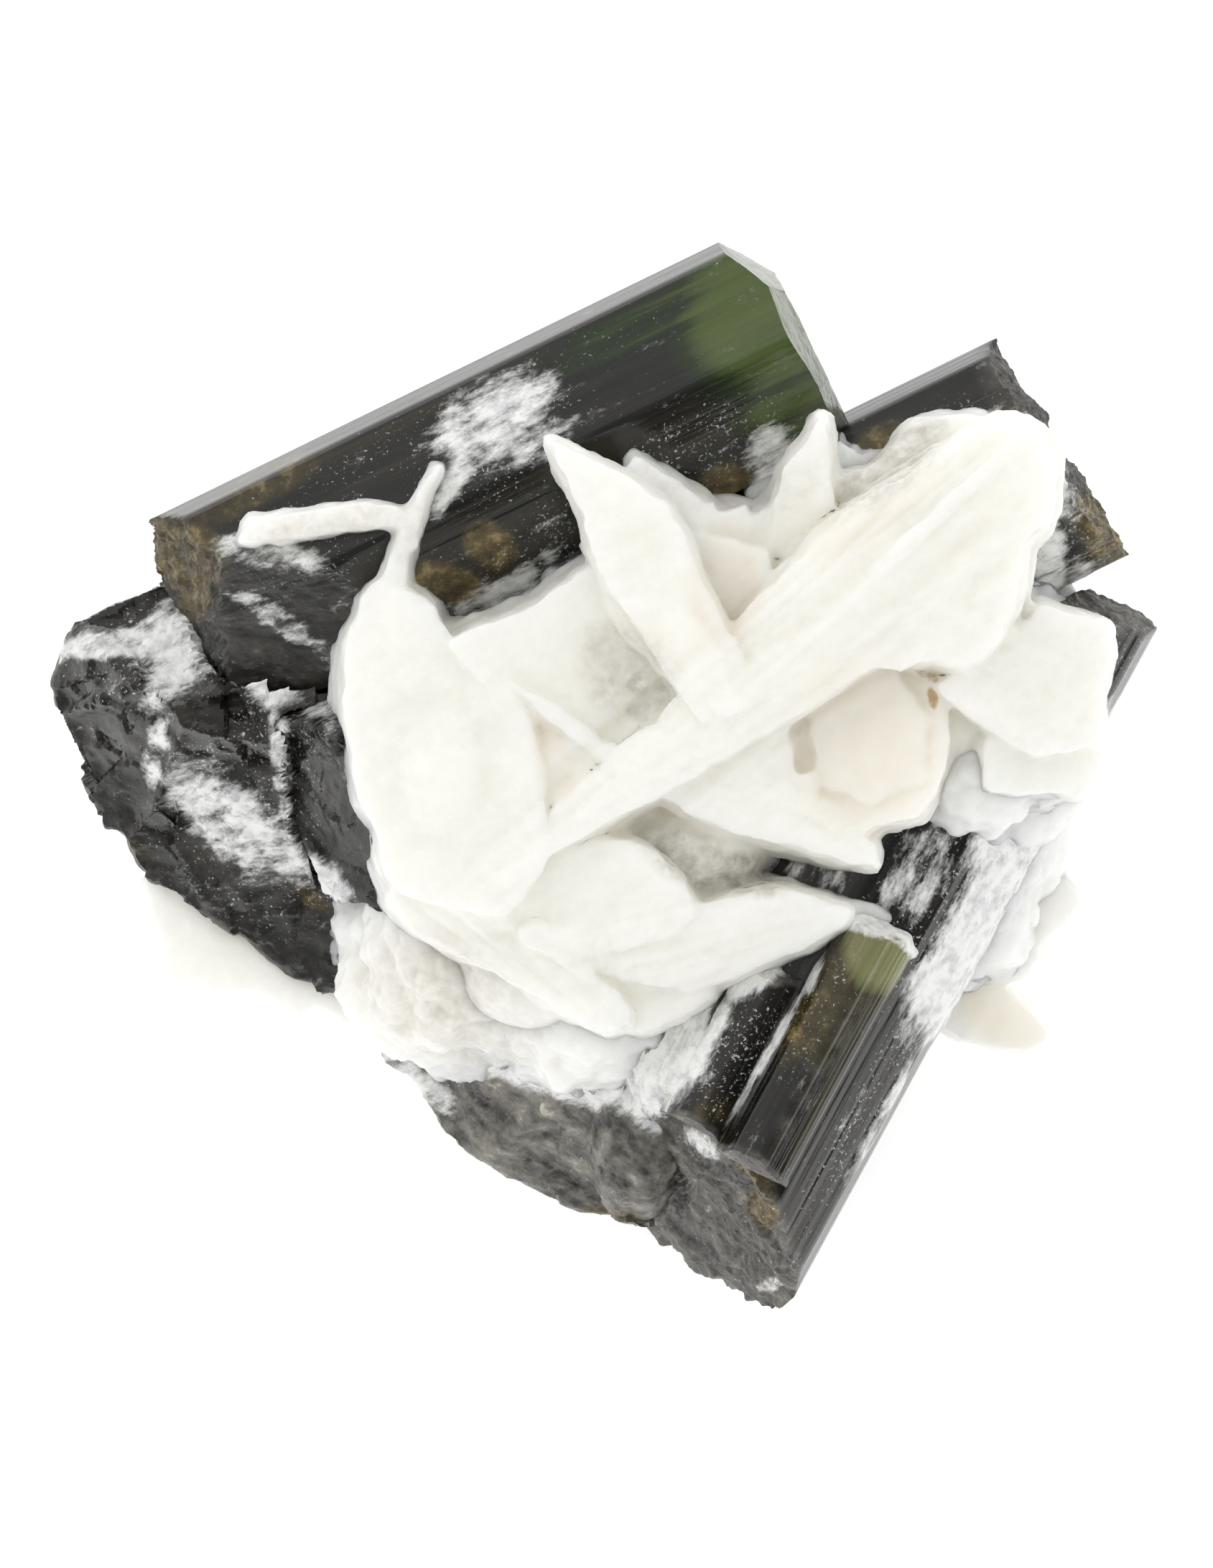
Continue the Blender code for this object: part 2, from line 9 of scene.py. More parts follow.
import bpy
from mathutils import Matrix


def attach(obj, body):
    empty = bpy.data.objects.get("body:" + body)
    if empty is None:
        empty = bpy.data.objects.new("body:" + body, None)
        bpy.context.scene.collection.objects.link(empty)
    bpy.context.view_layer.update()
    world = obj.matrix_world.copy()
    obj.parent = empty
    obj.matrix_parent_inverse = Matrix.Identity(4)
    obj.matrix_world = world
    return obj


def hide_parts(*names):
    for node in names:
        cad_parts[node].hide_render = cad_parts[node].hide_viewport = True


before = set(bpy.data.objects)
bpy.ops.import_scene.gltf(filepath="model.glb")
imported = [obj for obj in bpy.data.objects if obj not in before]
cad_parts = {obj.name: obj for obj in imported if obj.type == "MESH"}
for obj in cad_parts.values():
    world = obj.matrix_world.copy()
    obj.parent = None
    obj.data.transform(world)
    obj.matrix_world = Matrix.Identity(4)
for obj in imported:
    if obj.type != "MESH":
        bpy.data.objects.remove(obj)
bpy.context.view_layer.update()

# %% The tools of this lesson
import math
import random

import bmesh
import bpy
import numpy as np
from mathutils import Matrix, Vector, noise

MM = 0.001
UPPER_TREND = 26.0  # degrees from +X, the run of the upper prisms
LOWER_TREND = 61.5  # the run of the lower prisms
print("upper prisms run at", UPPER_TREND, "degrees, lower ones at", LOWER_TREND)

# %% [markdown]
# ## The camera, the light and the table
#
# The specimen was seen from straight above through a long lens, so the camera hangs nearly a metre
# up and looks down. One number, how much of the table the picture's long side shows, gives the
# lens. A shorter lens would make the tall blades lean outwards.

# %% Camera
PICTURE_HEIGHT = 62.4 * MM  # what the long side of the picture covers
LEVEL = 12 * MM  # the height at which it covers that much
DISTANCE = 0.9

camera_data = bpy.data.cameras.new("camera")
camera_data.sensor_width = 36.0
camera_data.lens = camera_data.sensor_width * DISTANCE / PICTURE_HEIGHT
camera_data.clip_start = 0.05
camera = bpy.data.objects.new("camera", camera_data)
camera.location = (0.1 * MM, 0.0, LEVEL + DISTANCE)
bpy.context.scene.collection.objects.link(camera)
bpy.context.scene.camera = camera
bpy.context.scene.view_settings.view_transform = "Standard"
print("lens, mm:", round(camera_data.lens))

# %% [markdown]
# Light on a glassy black crystal is mostly what it reflects, while white feldspar wants to be lit
# from everywhere. So the sky has two tones: an even white for soft light, and for reflections one
# that is bright overhead and dim towards the lower right, which gives each long face its own grey.


# %% Node helpers
def shader_tree(owner):
    """An empty node tree for a material or a world."""
    owner.use_nodes = True
    owner.node_tree.nodes.clear()
    return owner.node_tree


def add(tree, kind, settings=None, **inputs):
    """A new node; an input is a number, a colour, or another node's socket."""
    made = tree.nodes.new(kind)
    for name, value in (settings or {}).items():
        setattr(made, name, value)
    for name, value in inputs.items():
        socket = made.inputs[int(name[1:])] if name[1:].isdigit() else made.inputs[name.replace("_", " ")]
        if isinstance(value, bpy.types.NodeSocket):
            tree.links.new(value, socket)
        else:
            socket.default_value = value
    return made


def ramp(tree, factor, stops, interpolation="LINEAR"):
    """A colour ramp from (place, grey or colour) stops."""
    made = add(tree, "ShaderNodeValToRGB", Fac=factor)
    made.color_ramp.interpolation = interpolation
    elements = made.color_ramp.elements
    while len(elements) < len(stops):
        elements.new(0.5)
    for element, (place, colour) in zip(elements, stops):
        element.position = place
        element.color = (colour, colour, colour, 1) if isinstance(colour, (int, float)) else (*colour, 1)
    return made.outputs["Color"]


def calculate(tree, operation, first, second=0.0, third=0.0):
    made = add(tree, "ShaderNodeMath", {"operation": operation}, _0=first, _1=second, _2=third)
    return made.outputs["Value"]


def blend(tree, factor, first, second):
    made = add(tree, "ShaderNodeMix", {"data_type": "RGBA"}, _0=factor, _6=first, _7=second)
    return made.outputs[2]


print("five helpers build every node tree below")

# %% Sky
world = bpy.data.worlds.new("studio")
bpy.context.scene.world = world
sky = shader_tree(world)
look = add(sky, "ShaderNodeTexCoord")
KEY_SIDE = Vector((-0.55, 0.62, 0.56)).normalized()
# How far towards the key, from 0 to 1, and the tone that a glossy face mirrors from there.
MIRRORED = [(0.05, 0.05), (0.35, 0.16), (0.60, 0.28), (0.78, 0.36), (0.92, 0.62), (1.0, 0.75)]
SOFT = (1.0, 1.0, 1.0, 1)
facing = add(sky, "ShaderNodeVectorMath", {"operation": "DOT_PRODUCT"},
             _0=look.outputs["Generated"], _1=KEY_SIDE)
mirrored = ramp(sky, calculate(sky, "MULTIPLY_ADD", facing.outputs["Value"], 0.5, 0.5), MIRRORED)
ray = add(sky, "ShaderNodeLightPath")
tone = blend(sky, ray.outputs["Is Glossy Ray"], SOFT, mirrored)
background = add(sky, "ShaderNodeBackground", Color=tone, Strength=1.0)
add(sky, "ShaderNodeOutputWorld", Surface=background.outputs["Background"])

print("the sky mirrors", len(MIRRORED), "tones")

# %% Table
FLOOR_HALF = 3.0
FLOOR_GLOW = 0.42  # lifts the paper to white without washing out the soft shadows
floor_shape = bmesh.new()
bmesh.ops.create_grid(floor_shape, x_segments=1, y_segments=1, size=FLOOR_HALF)
floor_mesh = bpy.data.meshes.new("table")
floor_shape.to_mesh(floor_mesh)
floor_shape.free()
table = bpy.data.objects.new("table", floor_mesh)
bpy.context.scene.collection.objects.link(table)

paper = bpy.data.materials.new("white_paper")
tree = shader_tree(paper)
where = add(tree, "ShaderNodeTexCoord")
fibre = add(tree, "ShaderNodeTexNoise", Vector=where.outputs["Object"], Scale=900.0, Detail=3.0)
shade = ramp(tree, fibre.outputs["Fac"], [(0.3, 0.93), (0.7, 0.96)])
sheet = add(tree, "ShaderNodeBsdfPrincipled", Base_Color=shade, Roughness=0.9)
sheet.inputs["Emission Color"].default_value = (1, 1, 1, 1)
sheet.inputs["Emission Strength"].default_value = FLOOR_GLOW
add(tree, "ShaderNodeOutputMaterial", Surface=sheet.outputs["BSDF"])
floor_mesh.materials.append(paper)
print("the table is", 2 * FLOOR_HALF, "m wide")


# %% Softboxes
def softbox(name, where, size, power):
    """A square area light that looks at the specimen."""
    light = bpy.data.lights.new(name, "AREA")
    light.size = size
    light.energy = power
    made = bpy.data.objects.new(name, light)
    made.location = where
    made.rotation_euler = (Vector((0, 0, 0.01)) - Vector(where)).to_track_quat("-Z", "Y").to_euler()
    made.visible_glossy = False  # no square mirrored in the glassy faces
    bpy.context.scene.collection.objects.link(made)


softbox("key_upper_left", (-0.30, 0.36, 0.52), 0.30, 0.5)

# %% [markdown]
# ## Helpers for broken, grown surfaces
#
# Rock has detail at many sizes. A fractal noise, sampled at each vertex, gives it, and one function
# for it serves every piece. Painting works the same way: a layer is one number for each vertex, high
# inside a few soft ellipses, and the material decides what the layer looks like.


# %% Noise
def rough(points, size, octaves=3, shift=0.0):
    """Soft random numbers from about -1 to 1 that change over size millimetres."""
    offset = Vector((shift, 1.7 * shift, -shift))
    return np.array([noise.fractal(Vector(point) / size + offset, 0.9, 2.0, octaves) for point in points])


def grains(points, size, shift=0.0):
    """0 at the middle of each grain and about 1 at its edge."""
    offset = Vector((shift, shift, shift))
    return np.array([noise.voronoi(Vector(point) / size + offset)[0][0] for point in points])


print("noise at three points:", rough(np.eye(3), 1.0).round(2))

# %% Marks and paint
MARK_EDGE, MARK_FADE = 1.35, 0.7  # a mark ends at this share of its ellipse and fades over that share


def spots(points, marks):
    """How strongly the marks cover each point.

    Each mark is an ellipse: (x, y, half length, half width, turn, strength), and strength is 1 if left out.
    """
    total = np.zeros(len(points))
    for x, y, half_length, half_width, turn, *strength in marks:
        angle = math.radians(turn)
        dx, dy = points[:, 0] - x, points[:, 1] - y
        along = (dx * math.cos(angle) + dy * math.sin(angle)) / half_length
        across = (dy * math.cos(angle) - dx * math.sin(angle)) / half_width
        cover = np.clip(MARK_EDGE - np.hypot(along, across), 0, MARK_FADE) / MARK_FADE
        total = np.maximum(total, cover * (strength[0] if strength else 1.0))
    return total


print("a mark is full up to", round(MARK_EDGE - MARK_FADE, 2), "of its ellipse")


# %% Points of a mesh
def positions(mesh):
    flat = np.empty(3 * len(mesh.vertices), np.float32)
    mesh.vertices.foreach_get("co", flat)
    return flat.reshape(-1, 3).astype(float)


def put_back(mesh, points):
    mesh.vertices.foreach_set("co", points.astype(np.float32).ravel())
    mesh.update()


def directions(mesh):
    flat = np.empty(3 * len(mesh.vertices), np.float32)
    mesh.vertex_normals.foreach_get("vector", flat)
    return flat.reshape(-1, 3).astype(float)


def mesh_of(bm, name):
    """Closes the work on a bmesh: one skin, faces out."""
    bmesh.ops.remove_doubles(bm, verts=bm.verts, dist=1e-4)
    bmesh.ops.recalc_face_normals(bm, faces=bm.faces)
    mesh = bpy.data.meshes.new(name)
    bm.to_mesh(mesh)
    bm.free()
    return mesh


# %% Finish a piece
def paint(mesh, layer, values):
    """Keeps one number for each vertex under the layer's name."""
    made = mesh.attributes.new(layer, "FLOAT", "POINT")
    made.data.foreach_set("value", np.clip(values, 0, 1).astype(np.float32))


def finish_piece(mesh, name, node, material, sharp=32):
    """Turns a mesh in millimetres into a piece of the specimen, in metres."""
    mesh.transform(Matrix.Scale(MM, 4))
    mesh.shade_smooth()
    mesh.set_sharp_from_angle(angle=math.radians(sharp))
    mesh.materials.clear()
    mesh.materials.append(material)
    piece = bpy.data.objects.new(name, mesh)
    bpy.context.scene.collection.objects.link(piece)
    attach(piece, "root")
    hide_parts(node)
    print(name, "has", len(mesh.polygons), "faces")


# %% [markdown]
# ## The finish of tourmaline
#
# Tourmaline is nearly black, glassy, and striped along its length by growth lines. The stripes are a
# noise that is stretched along the prism, for which a Mapping node turns the pattern to the prism's
# run. Painted layers add what is local: green light in the clear tip, amber stains, broken grey
# ends, a painted sheen band along the short prism's top, and the white feldspar that clings to the
# faces as crust or as scattered dust.


# %% Pattern helpers
def painted(tree, layer):
    return add(tree, "ShaderNodeAttribute", {"attribute_name": layer}).outputs["Fac"]


def spread(tree, layer, noise_value, share, low, high):
    """A painted layer that a noise makes ragged: none at low, whole at high."""
    ragged = calculate(tree, "MULTIPLY_ADD", noise_value, share, painted(tree, layer))
    made = add(tree, "ShaderNodeMapRange", {"interpolation_type": "SMOOTHSTEP"},
               Value=ragged, From_Min=low, From_Max=high)
    return made.outputs["Result"]


def noise_node(tree, where, scale, detail=4.0, roughness=0.6):
    made = add(tree, "ShaderNodeTexNoise", Vector=where, Scale=scale, Detail=detail, Roughness=roughness)
    return made.outputs["Fac"]


def stretched(tree, where, trend, scale):
    """The place, turned to the trend and then scaled, so that a pattern runs along it."""
    turned = add(tree, "ShaderNodeMapping", {"vector_type": "TEXTURE"}, Vector=where)
    turned.inputs["Rotation"].default_value = (0, 0, math.radians(trend))
    made = add(tree, "ShaderNodeMapping", Vector=turned.outputs["Vector"])
    made.inputs["Scale"].default_value = scale
    return made.outputs["Vector"]


print("patterns can be painted, ragged or stretched")


# %% Tourmaline material
def tourmaline(name, trend, dark, streak, deep=(0.011, 0.025, 0.002), pale=(0.115, 0.165, 0.030), ash=1.0):
    """A glassy dark crystal whose stripes run along its trend."""
    material = bpy.data.materials.new(name)
    tree = shader_tree(material)
    place = add(tree, "ShaderNodeTexCoord").outputs["Object"]
    lengthwise = stretched(tree, place, trend, (40, 1000, 1000))
    stripes = noise_node(tree, lengthwise, 1.5, 5.0, 0.7)
    fine = noise_node(tree, lengthwise, 6.0, 3.0)
    wisps = noise_node(tree, stretched(tree, place, trend, (420, 1000, 1000)), 1.3, 9.0, 0.72)
    clouds = noise_node(tree, place, 260.0)
    grain = noise_node(tree, place, 1500.0, 5.0, 0.65)
    specks = noise_node(tree, place, 7000.0, 3.0, 0.6)

    crust = spread(tree, "crust", wisps, 2.4, 1.40, 2.08)
    lifted = calculate(tree, "MULTIPLY_ADD", wisps, 0.25, specks)
    lifted = calculate(tree, "MULTIPLY_ADD", painted(tree, "dust"), 0.12, lifted)
    dust = ramp(tree, lifted, [(0.83, 0.0), (0.93, 1.0)])
    amber = spread(tree, "amber", clouds, 0.9, 0.70, 1.45)
    # The layer of broken faces also carries one painted sheen, a grey band on the short prism.
    broken = painted(tree, "broken")
    clear = spread(tree, "clear", stripes, 1.3, 0.80, 1.85)

    body = ramp(tree, stripes, [(0.40, dark), (0.52, [0.4 * c for c in streak]), (0.68, streak)])
    glow = ramp(tree, clear, [(0.0, dark), (0.45, deep), (1.0, pale)])
    body = blend(tree, ramp(tree, clear, [(0.0, 0.0), (0.25, 1.0)]), body, glow)
    flow = noise_node(tree, stretched(tree, place, -32, (260, 900, 900)), 1.2, 6.0, 0.65)
    mixed = calculate(tree, "MULTIPLY_ADD", flow, 0.6, calculate(tree, "MULTIPLY", grain, 0.4))
    tones = [(0.38, 0.010), (0.50, 0.052 * ash), (0.60, 0.10 * ash), (0.70, 0.26 * ash)]
    grey = ramp(tree, mixed, [(spot, (tone, 0.95 * tone, 0.80 * tone)) for spot, tone in tones])
    body = blend(tree, calculate(tree, "MULTIPLY", broken, 0.9), body, grey)
    honey = ramp(tree, grain, [(0.30, (0.024, 0.016, 0.003)), (0.53, (0.105, 0.076, 0.020)),
                               (0.72, (0.36, 0.28, 0.13))])
    body = blend(tree, amber, body, honey)
    chalk = ramp(tree, grain, [(0.30, (0.54, 0.55, 0.56)), (0.55, (0.86, 0.86, 0.84))])
    body = blend(tree, calculate(tree, "MULTIPLY", dust, 0.6), body, chalk)
    body = blend(tree, crust, body, chalk)

    gloss = calculate(tree, "MULTIPLY_ADD", broken, 0.30, 0.10)
    gloss = calculate(tree, "MULTIPLY_ADD", crust, 0.5, gloss)
    gloss = calculate(tree, "MULTIPLY_ADD", fine, 0.12, gloss)

    lines = add(tree, "ShaderNodeBump", Height=fine, Strength=0.3, Distance=0.00005)
    depth = calculate(tree, "MULTIPLY", calculate(tree, "MAXIMUM", broken, crust), 0.6)
    pits = add(tree, "ShaderNodeBump", Height=grain, Strength=depth, Distance=0.0002,
               Normal=lines.outputs["Normal"])

    skin = add(tree, "ShaderNodeBsdfPrincipled", Base_Color=body, Roughness=gloss, IOR=1.62,
               Normal=pits.outputs["Normal"])
    covered = calculate(tree, "MAXIMUM", crust, calculate(tree, "MAXIMUM", amber, broken))
    bare = calculate(tree, "SUBTRACT", 0.45, calculate(tree, "MULTIPLY", covered, 0.45))
    see_through = calculate(tree, "MULTIPLY", clear, bare)
    tree.links.new(see_through, skin.inputs["Transmission Weight"])
    add(tree, "ShaderNodeOutputMaterial", Surface=skin.outputs["BSDF"])
    return material


# %% [markdown]
# ## A prism
#
# A tourmaline prism is a rounded triangle or polygon in section, grooved along its whole length. An
# extruded outline would make a plain one, but each groove and chip here needs points of its own, so
# the skin is a loft: ring after ring of the same section. The first and last rings shrink to a point
# and close the two ends, so that a broken end gets many small facets. The grooves belong to the
# columns of the loft, so they run true from end to end.


# %% Outlines
DENSE = 2400  # how many points an outline has while its corners are softened


def walk(corners, count, upper=0.0):
    """That many points round a closed outline, closer together where it is high."""
    loop = np.vstack([corners, corners[:1]])
    steps = np.hypot(*np.diff(loop, axis=0).T)
    height = (loop[:-1, 1] - loop[:, 1].min()) / np.ptp(loop[:, 1])
    travel = np.concatenate([[0], np.cumsum(steps * (1 + upper * height))])
    wanted = np.linspace(0, travel[-1], count, endpoint=False)
    return np.column_stack([np.interp(wanted, travel, loop[:, axis]) for axis in (0, 1)])


def rounded(corners, count, radius, upper=0.0):
    """The outline as many points, with its corners softened over about that radius."""
    dense = walk(np.array(corners, float), DENSE)
    length = np.hypot(*(np.roll(dense, -1, 0) - dense).T).sum()
    reach = max(1, round(radius / length * DENSE))
    for _ in range(2):
        dense = sum(np.roll(dense, shift, 0) for shift in range(-reach, reach + 1)) / (2 * reach + 1)
    return walk(dense, count, upper)


print("a square as eight points:", walk(np.array([(0, 0), (1, 0), (1, 1), (0, 1)]), 8).tolist())


# %% Loft and grooves
GROOVE_WIDTHS = [0.07, 0.10, 0.14, 0.2, 0.3, 0.5, 0.8]


def loft(rings, name):
    """A closed skin over rings of points, with a face over the first ring and the last."""
    rows, columns = rings.shape[:2]
    index = np.arange(rows * columns).reshape(rows, columns)
    after = np.roll(index, -1, axis=1)
    sides = np.stack([index[:-1], after[:-1], after[1:], index[1:]], axis=-1).reshape(-1, 4)
    mesh = bpy.data.meshes.new(name)
    faces = [*sides.tolist(), index[0].tolist(), index[-1].tolist()]
    mesh.from_pydata(rings.reshape(-1, 3).tolist(), [], faces)
    return mesh


def grooves(distance, length, seed, deepest, number=110):
    """Growth lines round a section: narrow V grooves of many widths, in millimetres."""
    pick = random.Random(seed)
    depth = np.zeros(len(distance))
    for _ in range(number):
        middle, width = pick.uniform(0, length), pick.choice(GROOVE_WIDTHS)
        gap = np.abs((distance - middle + length / 2) % length - length / 2)
        depth = np.maximum(depth, np.clip(1 - gap / width, 0, 1) * pick.uniform(0.2, 1) * deepest)
    return depth


print("grooves are", GROOVE_WIDTHS[0], "to", GROOVE_WIDTHS[-1], "mm wide on each side")


# %% Ends of a prism
def end_place(cuts, limit, across, height):
    """How far along its run the prism reaches over each point of its section.

    Each cut is a plane: a point on it and the way it faces, both as (along the run, to its left, up).
    """
    value = np.full(across.shape, float(limit))
    for (along, beside, up), (run, left, rise) in cuts:
        plane = along - ((across - beside) * left + (height - up) * rise) / run
        value = np.minimum(value, plane) if run > 0 else np.maximum(value, plane)
    return value


print("an end without cuts stays at its limit:", end_place([], 5.0, np.zeros(1), np.zeros(1)))

# %% Prism maker
AROUND, ALONG, CAP = 440, 130, 34  # points round a ring, rings along the prism, rings on each end


def prism(trend, section, start, finish, start_cuts, finish_cuts, seed, start_break=0.3, finish_break=0.3,
          corner=0.22, groove=0.03, size=1.0):
    """A grooved prism with broken ends, as a mesh in millimetres, and how broken each vertex is."""
    around, along, cap = (round(size * number) for number in (AROUND, ALONG, CAP))
    rim = rounded(section, around, corner, upper=2.0)
    middle = rim.mean(axis=0)
    steps = np.hypot(*(np.roll(rim, -1, 0) - rim).T)
    depth = grooves(np.cumsum(steps), steps.sum(), seed, groove)
    inward = middle - rim
    inward /= np.linalg.norm(inward, axis=1)[:, None]

    row = np.arange(along + 2 * cap + 1)
    share = np.minimum(1.0, (np.minimum(row, row[::-1]) + 0.02) / cap) ** 0.8
    travel = np.clip((row - cap) / along, 0, 1)
    flat = middle + (rim - middle)[None, :, :] * share[:, None, None]
    across, height = flat[..., 0], flat[..., 1]
    section_points = np.column_stack([across.ravel(), height.ravel(), np.full(across.size, 3.0 * seed)])
    chips = rough(section_points, 1.6, 4) + 0.5 * np.abs(rough(section_points, 0.5, 3, 5.0))
    chips = chips.reshape(across.shape)
    at_start = end_place(start_cuts, start, across, height) + start_break * (0.45 + chips)
    at_finish = end_place(finish_cuts, finish, across, height) - finish_break * (0.45 + chips)
    run = at_start + (at_finish - at_start) * travel[:, None]

    columns = np.broadcast_to(np.arange(around) * 0.11, run.shape)
    growth = np.column_stack([run.ravel() / 9.0, columns.ravel(), np.full(run.size, float(seed))])
    fade = np.clip(0.75 + 0.6 * rough(growth, 1.0, 2), 0.15, 1.2).reshape(run.shape)
    flat = flat + inward[None] * (depth[None] * fade * share[:, None])[..., None]

    angle = math.radians(trend)
    rings = np.stack([
        run * math.cos(angle) - flat[..., 0] * math.sin(angle),
        run * math.sin(angle) + flat[..., 0] * math.cos(angle),
        flat[..., 1],
    ], axis=-1)
    near_start = np.clip(1.3 - (run - at_start) / 0.25, 0, 1) * (start_break > 0.1)
    near_finish = np.clip(1.3 - (at_finish - run) / 0.25, 0, 1) * (finish_break > 0.1)
    return loft(rings, "prism"), np.maximum(near_start, near_finish).ravel()


print("a prism has", AROUND, "points in each ring")


# %% Dress a crystal
FAINT_DUST = 0.05  # a little dust lies everywhere
CRUST_HEIGHT, CRUST_GRAIN = 0.05, 0.14  # how far a crust stands up, and how much its grain adds


def outwards(mesh):
    """Turns every face to the outside."""
    bm = bmesh.new()
    bm.from_mesh(mesh)
    bmesh.ops.recalc_face_normals(bm, faces=bm.faces)
    bm.to_mesh(mesh)
    bm.free()


def dress(mesh, broken, marks):
    """Paints the layers of a crystal and lets its crust stand proud."""
    outwards(mesh)
    points, normals = positions(mesh), directions(mesh)
    upward = np.clip(normals[:, 2] * 3 + 1.0, 0, 1)
    layers = {}
    for layer in ("crust", "dust", "amber", "clear"):
        layers[layer] = spots(points, marks.get(layer, [])) * upward
    layers["dust"] = np.maximum(layers["dust"], FAINT_DUST)
    glassy = spots(points, marks.get("glassy", []))
    layers["broken"] = np.maximum(broken, spots(points, marks.get("broken", []))) * (1 - 0.85 * glassy)
    texture = 0.5 + 0.5 * rough(points, 0.5, 2, 3.0)
    proud = np.clip(layers["crust"] * 1.4 - 0.5, 0, 1) * (CRUST_HEIGHT + CRUST_GRAIN * texture)
    put_back(mesh, points + normals * proud[:, None])
    for layer, values in layers.items():
        paint(mesh, layer, values)


print("a crust stands about", round(CRUST_HEIGHT + 0.5 * CRUST_GRAIN, 2), "mm proud")

# %% [markdown]
# ### The long prism
#
# Its left end is broken, and its right end shows the crystal's own faces, where the body clears to a
# bottle green. Half way along, feldspar has frosted the upper face, and amber stains lie where the
# blades start.

# %% Shape and marks of the long prism
LONG_SECTION = [
    (17.45, 10.9), (16.85, 13.4), (14.2, 15.1), (12.65, 15.7), (10.4, 14.5),
    (8.05, 12.1), (8.5, 9.7), (11.1, 7.5), (14.3, 7.3), (16.7, 8.7),
]
LONG_MARKS = {
    "clear": [(6.6, 18.8, 4.2, 3.2, 26), (2.6, 18.6, 6.5, 1.2, 26, 0.55), (8.4, 15.6, 3.6, 2.0, 20, 0.8),
              (10.4, 17.6, 1.6, 3.2, 26)],
    "crust": [(-4.4, 14.4, 2.7, 1.5, 36, 0.70), (-5.7, 12.4, 2.0, 0.5, 60, 0.62),
              (-2.6, 13.5, 1.6, 0.9, 26, 0.55), (7.0, 12.6, 1.3, 1.6, 20, 0.75),
              (-4.9, 6.9, 2.8, 0.9, 35, 0.62), (-13.4, 9.2, 2.4, 0.7, -10, 0.6),
              (-1.4, 8.4, 1.0, 2.0, 30, 0.42), (-13.0, 6.6, 2.4, 0.5, -35, 0.5)],
    "dust": [(-4.3, 13.6, 3.6, 2.4, 26, 0.9), (0.5, 11.0, 8.0, 1.6, 26, 0.8),
             (-1.6, 9.2, 1.6, 2.6, 26, 1.0), (-12.0, 9.5, 3.5, 2.0, 0, 0.7),
             (4.0, 13.6, 4.0, 1.6, 26, 0.9), (-6.0, 14.6, 9.0, 1.0, 26, 0.6)],
    "amber": [(-4.5, 9.4, 0.9, 1.2, 60), (-6.3, 8.0, 1.9, 0.9, -15, 0.9), (4.8, 11.9, 1.3, 0.9, 20, 0.9),
              (-17.0, 9.2, 1.6, 2.4, 70, 0.85), (-14.0, 11.6, 4.4, 0.9, 28, 0.5),
              (-16.3, 7.6, 0.8, 1.1, 0)],
    "broken": [(-12.6, 7.0, 3.6, 2.0, -35), (-13.0, 8.6, 2.4, 1.0, -20, 0.8)],
    "glassy": [(-10.5, 9.0, 1.6, 0.7, 26)],
}
print("the long prism has", sum(map(len, LONG_MARKS.values())), "marks")

# %% Build the long prism
long_mesh, long_broken = prism(
    UPPER_TREND, LONG_SECTION, -12.3, 15.1,
    [((-12.1, 17.0, 9.5), (-0.94, 0.0, 0.33)), ((-10.2, 14.7, 15.0), (-0.42, -0.58, 0.70))],
    [((13.5, 17.4, 11.5), (0.86, 0.50, 0.10)), ((15.0, 12.7, 13.0), (0.97, 0.0, 0.24)),
     ((14.9, 8.6, 10.5), (0.93, -0.30, 0.20))],
    seed=3, start_break=0.45, finish_break=0.05,
)
dress(long_mesh, long_broken, LONG_MARKS)
bottle_green = tourmaline("bottle_green_tourmaline", UPPER_TREND,
                          (0.003, 0.003, 0.0025), (0.024, 0.021, 0.011), ash=0.6)
finish_piece(long_mesh, "long_prism", "tourmaline_long", bottle_green)

# %% [markdown]
# ### The right prism
#
# Only its upper edge and its broken right end show past the blades.

# %% Build the right prism
RIGHT_SECTION = [
    (9.2, 8.9), (8.65, 11.2), (4.6, 13.5), (0.4, 12.0), (-1.0, 9.0), (-0.4, 5.2), (4.2, 3.4), (8.2, 5.0),
]
RIGHT_MARKS = {
    "amber": [(10.8, 13.3, 2.0, 0.9, 30, 0.9), (19.9, 10.2, 1.8, 1.1, -60, 0.95),
              (18.8, 7.6, 1.3, 1.0, 60, 0.8), (15.4, 14.4, 1.6, 0.5, 30, 0.7),
              (12.6, 13.9, 1.6, 0.5, 30, 0.6)],
    "crust": [(17.4, 12.6, 2.4, 0.9, -60, 0.66), (13.4, 13.7, 2.4, 0.6, 26, 0.6),
              (19.4, 7.2, 1.8, 0.8, -70, 0.7), (17.6, 9.2, 2.4, 0.8, -80, 0.85),
              (20.8, 6.6, 1.2, 0.5, 60, 0.5)],
    "dust": [(14.0, 14.8, 3.0, 1.2, 20, 0.5), (18.5, 10.0, 3.0, 1.6, -60, 1.0)],
    "broken": [(17.0, 16.2, 1.6, 2.4, 26), (19.2, 10.5, 2.2, 3.2, 26)],
    "glassy": [(18.6, 8.8, 0.8, 1.2, -60, 0.7)],
}
right_mesh, right_broken = prism(
    UPPER_TREND, RIGHT_SECTION, 8.5, 23.3, [],
    [((21.6, 8.8, 11.2), (0.90, 0.20, 0.38)), ((22.1, 9.2, 8.9), (0.93, 0.10, -0.35)),
     ((22.8, 1.5, 9.0), (0.97, 0.12, 0.20)), ((22.7, 1.5, 7.0), (0.90, 0.0, -0.44))],
    seed=5, finish_break=0.36,
)
dress(right_mesh, right_broken, RIGHT_MARKS)
smoky = tourmaline("smoky_tourmaline", UPPER_TREND, (0.003, 0.003, 0.003), (0.020, 0.018, 0.013))
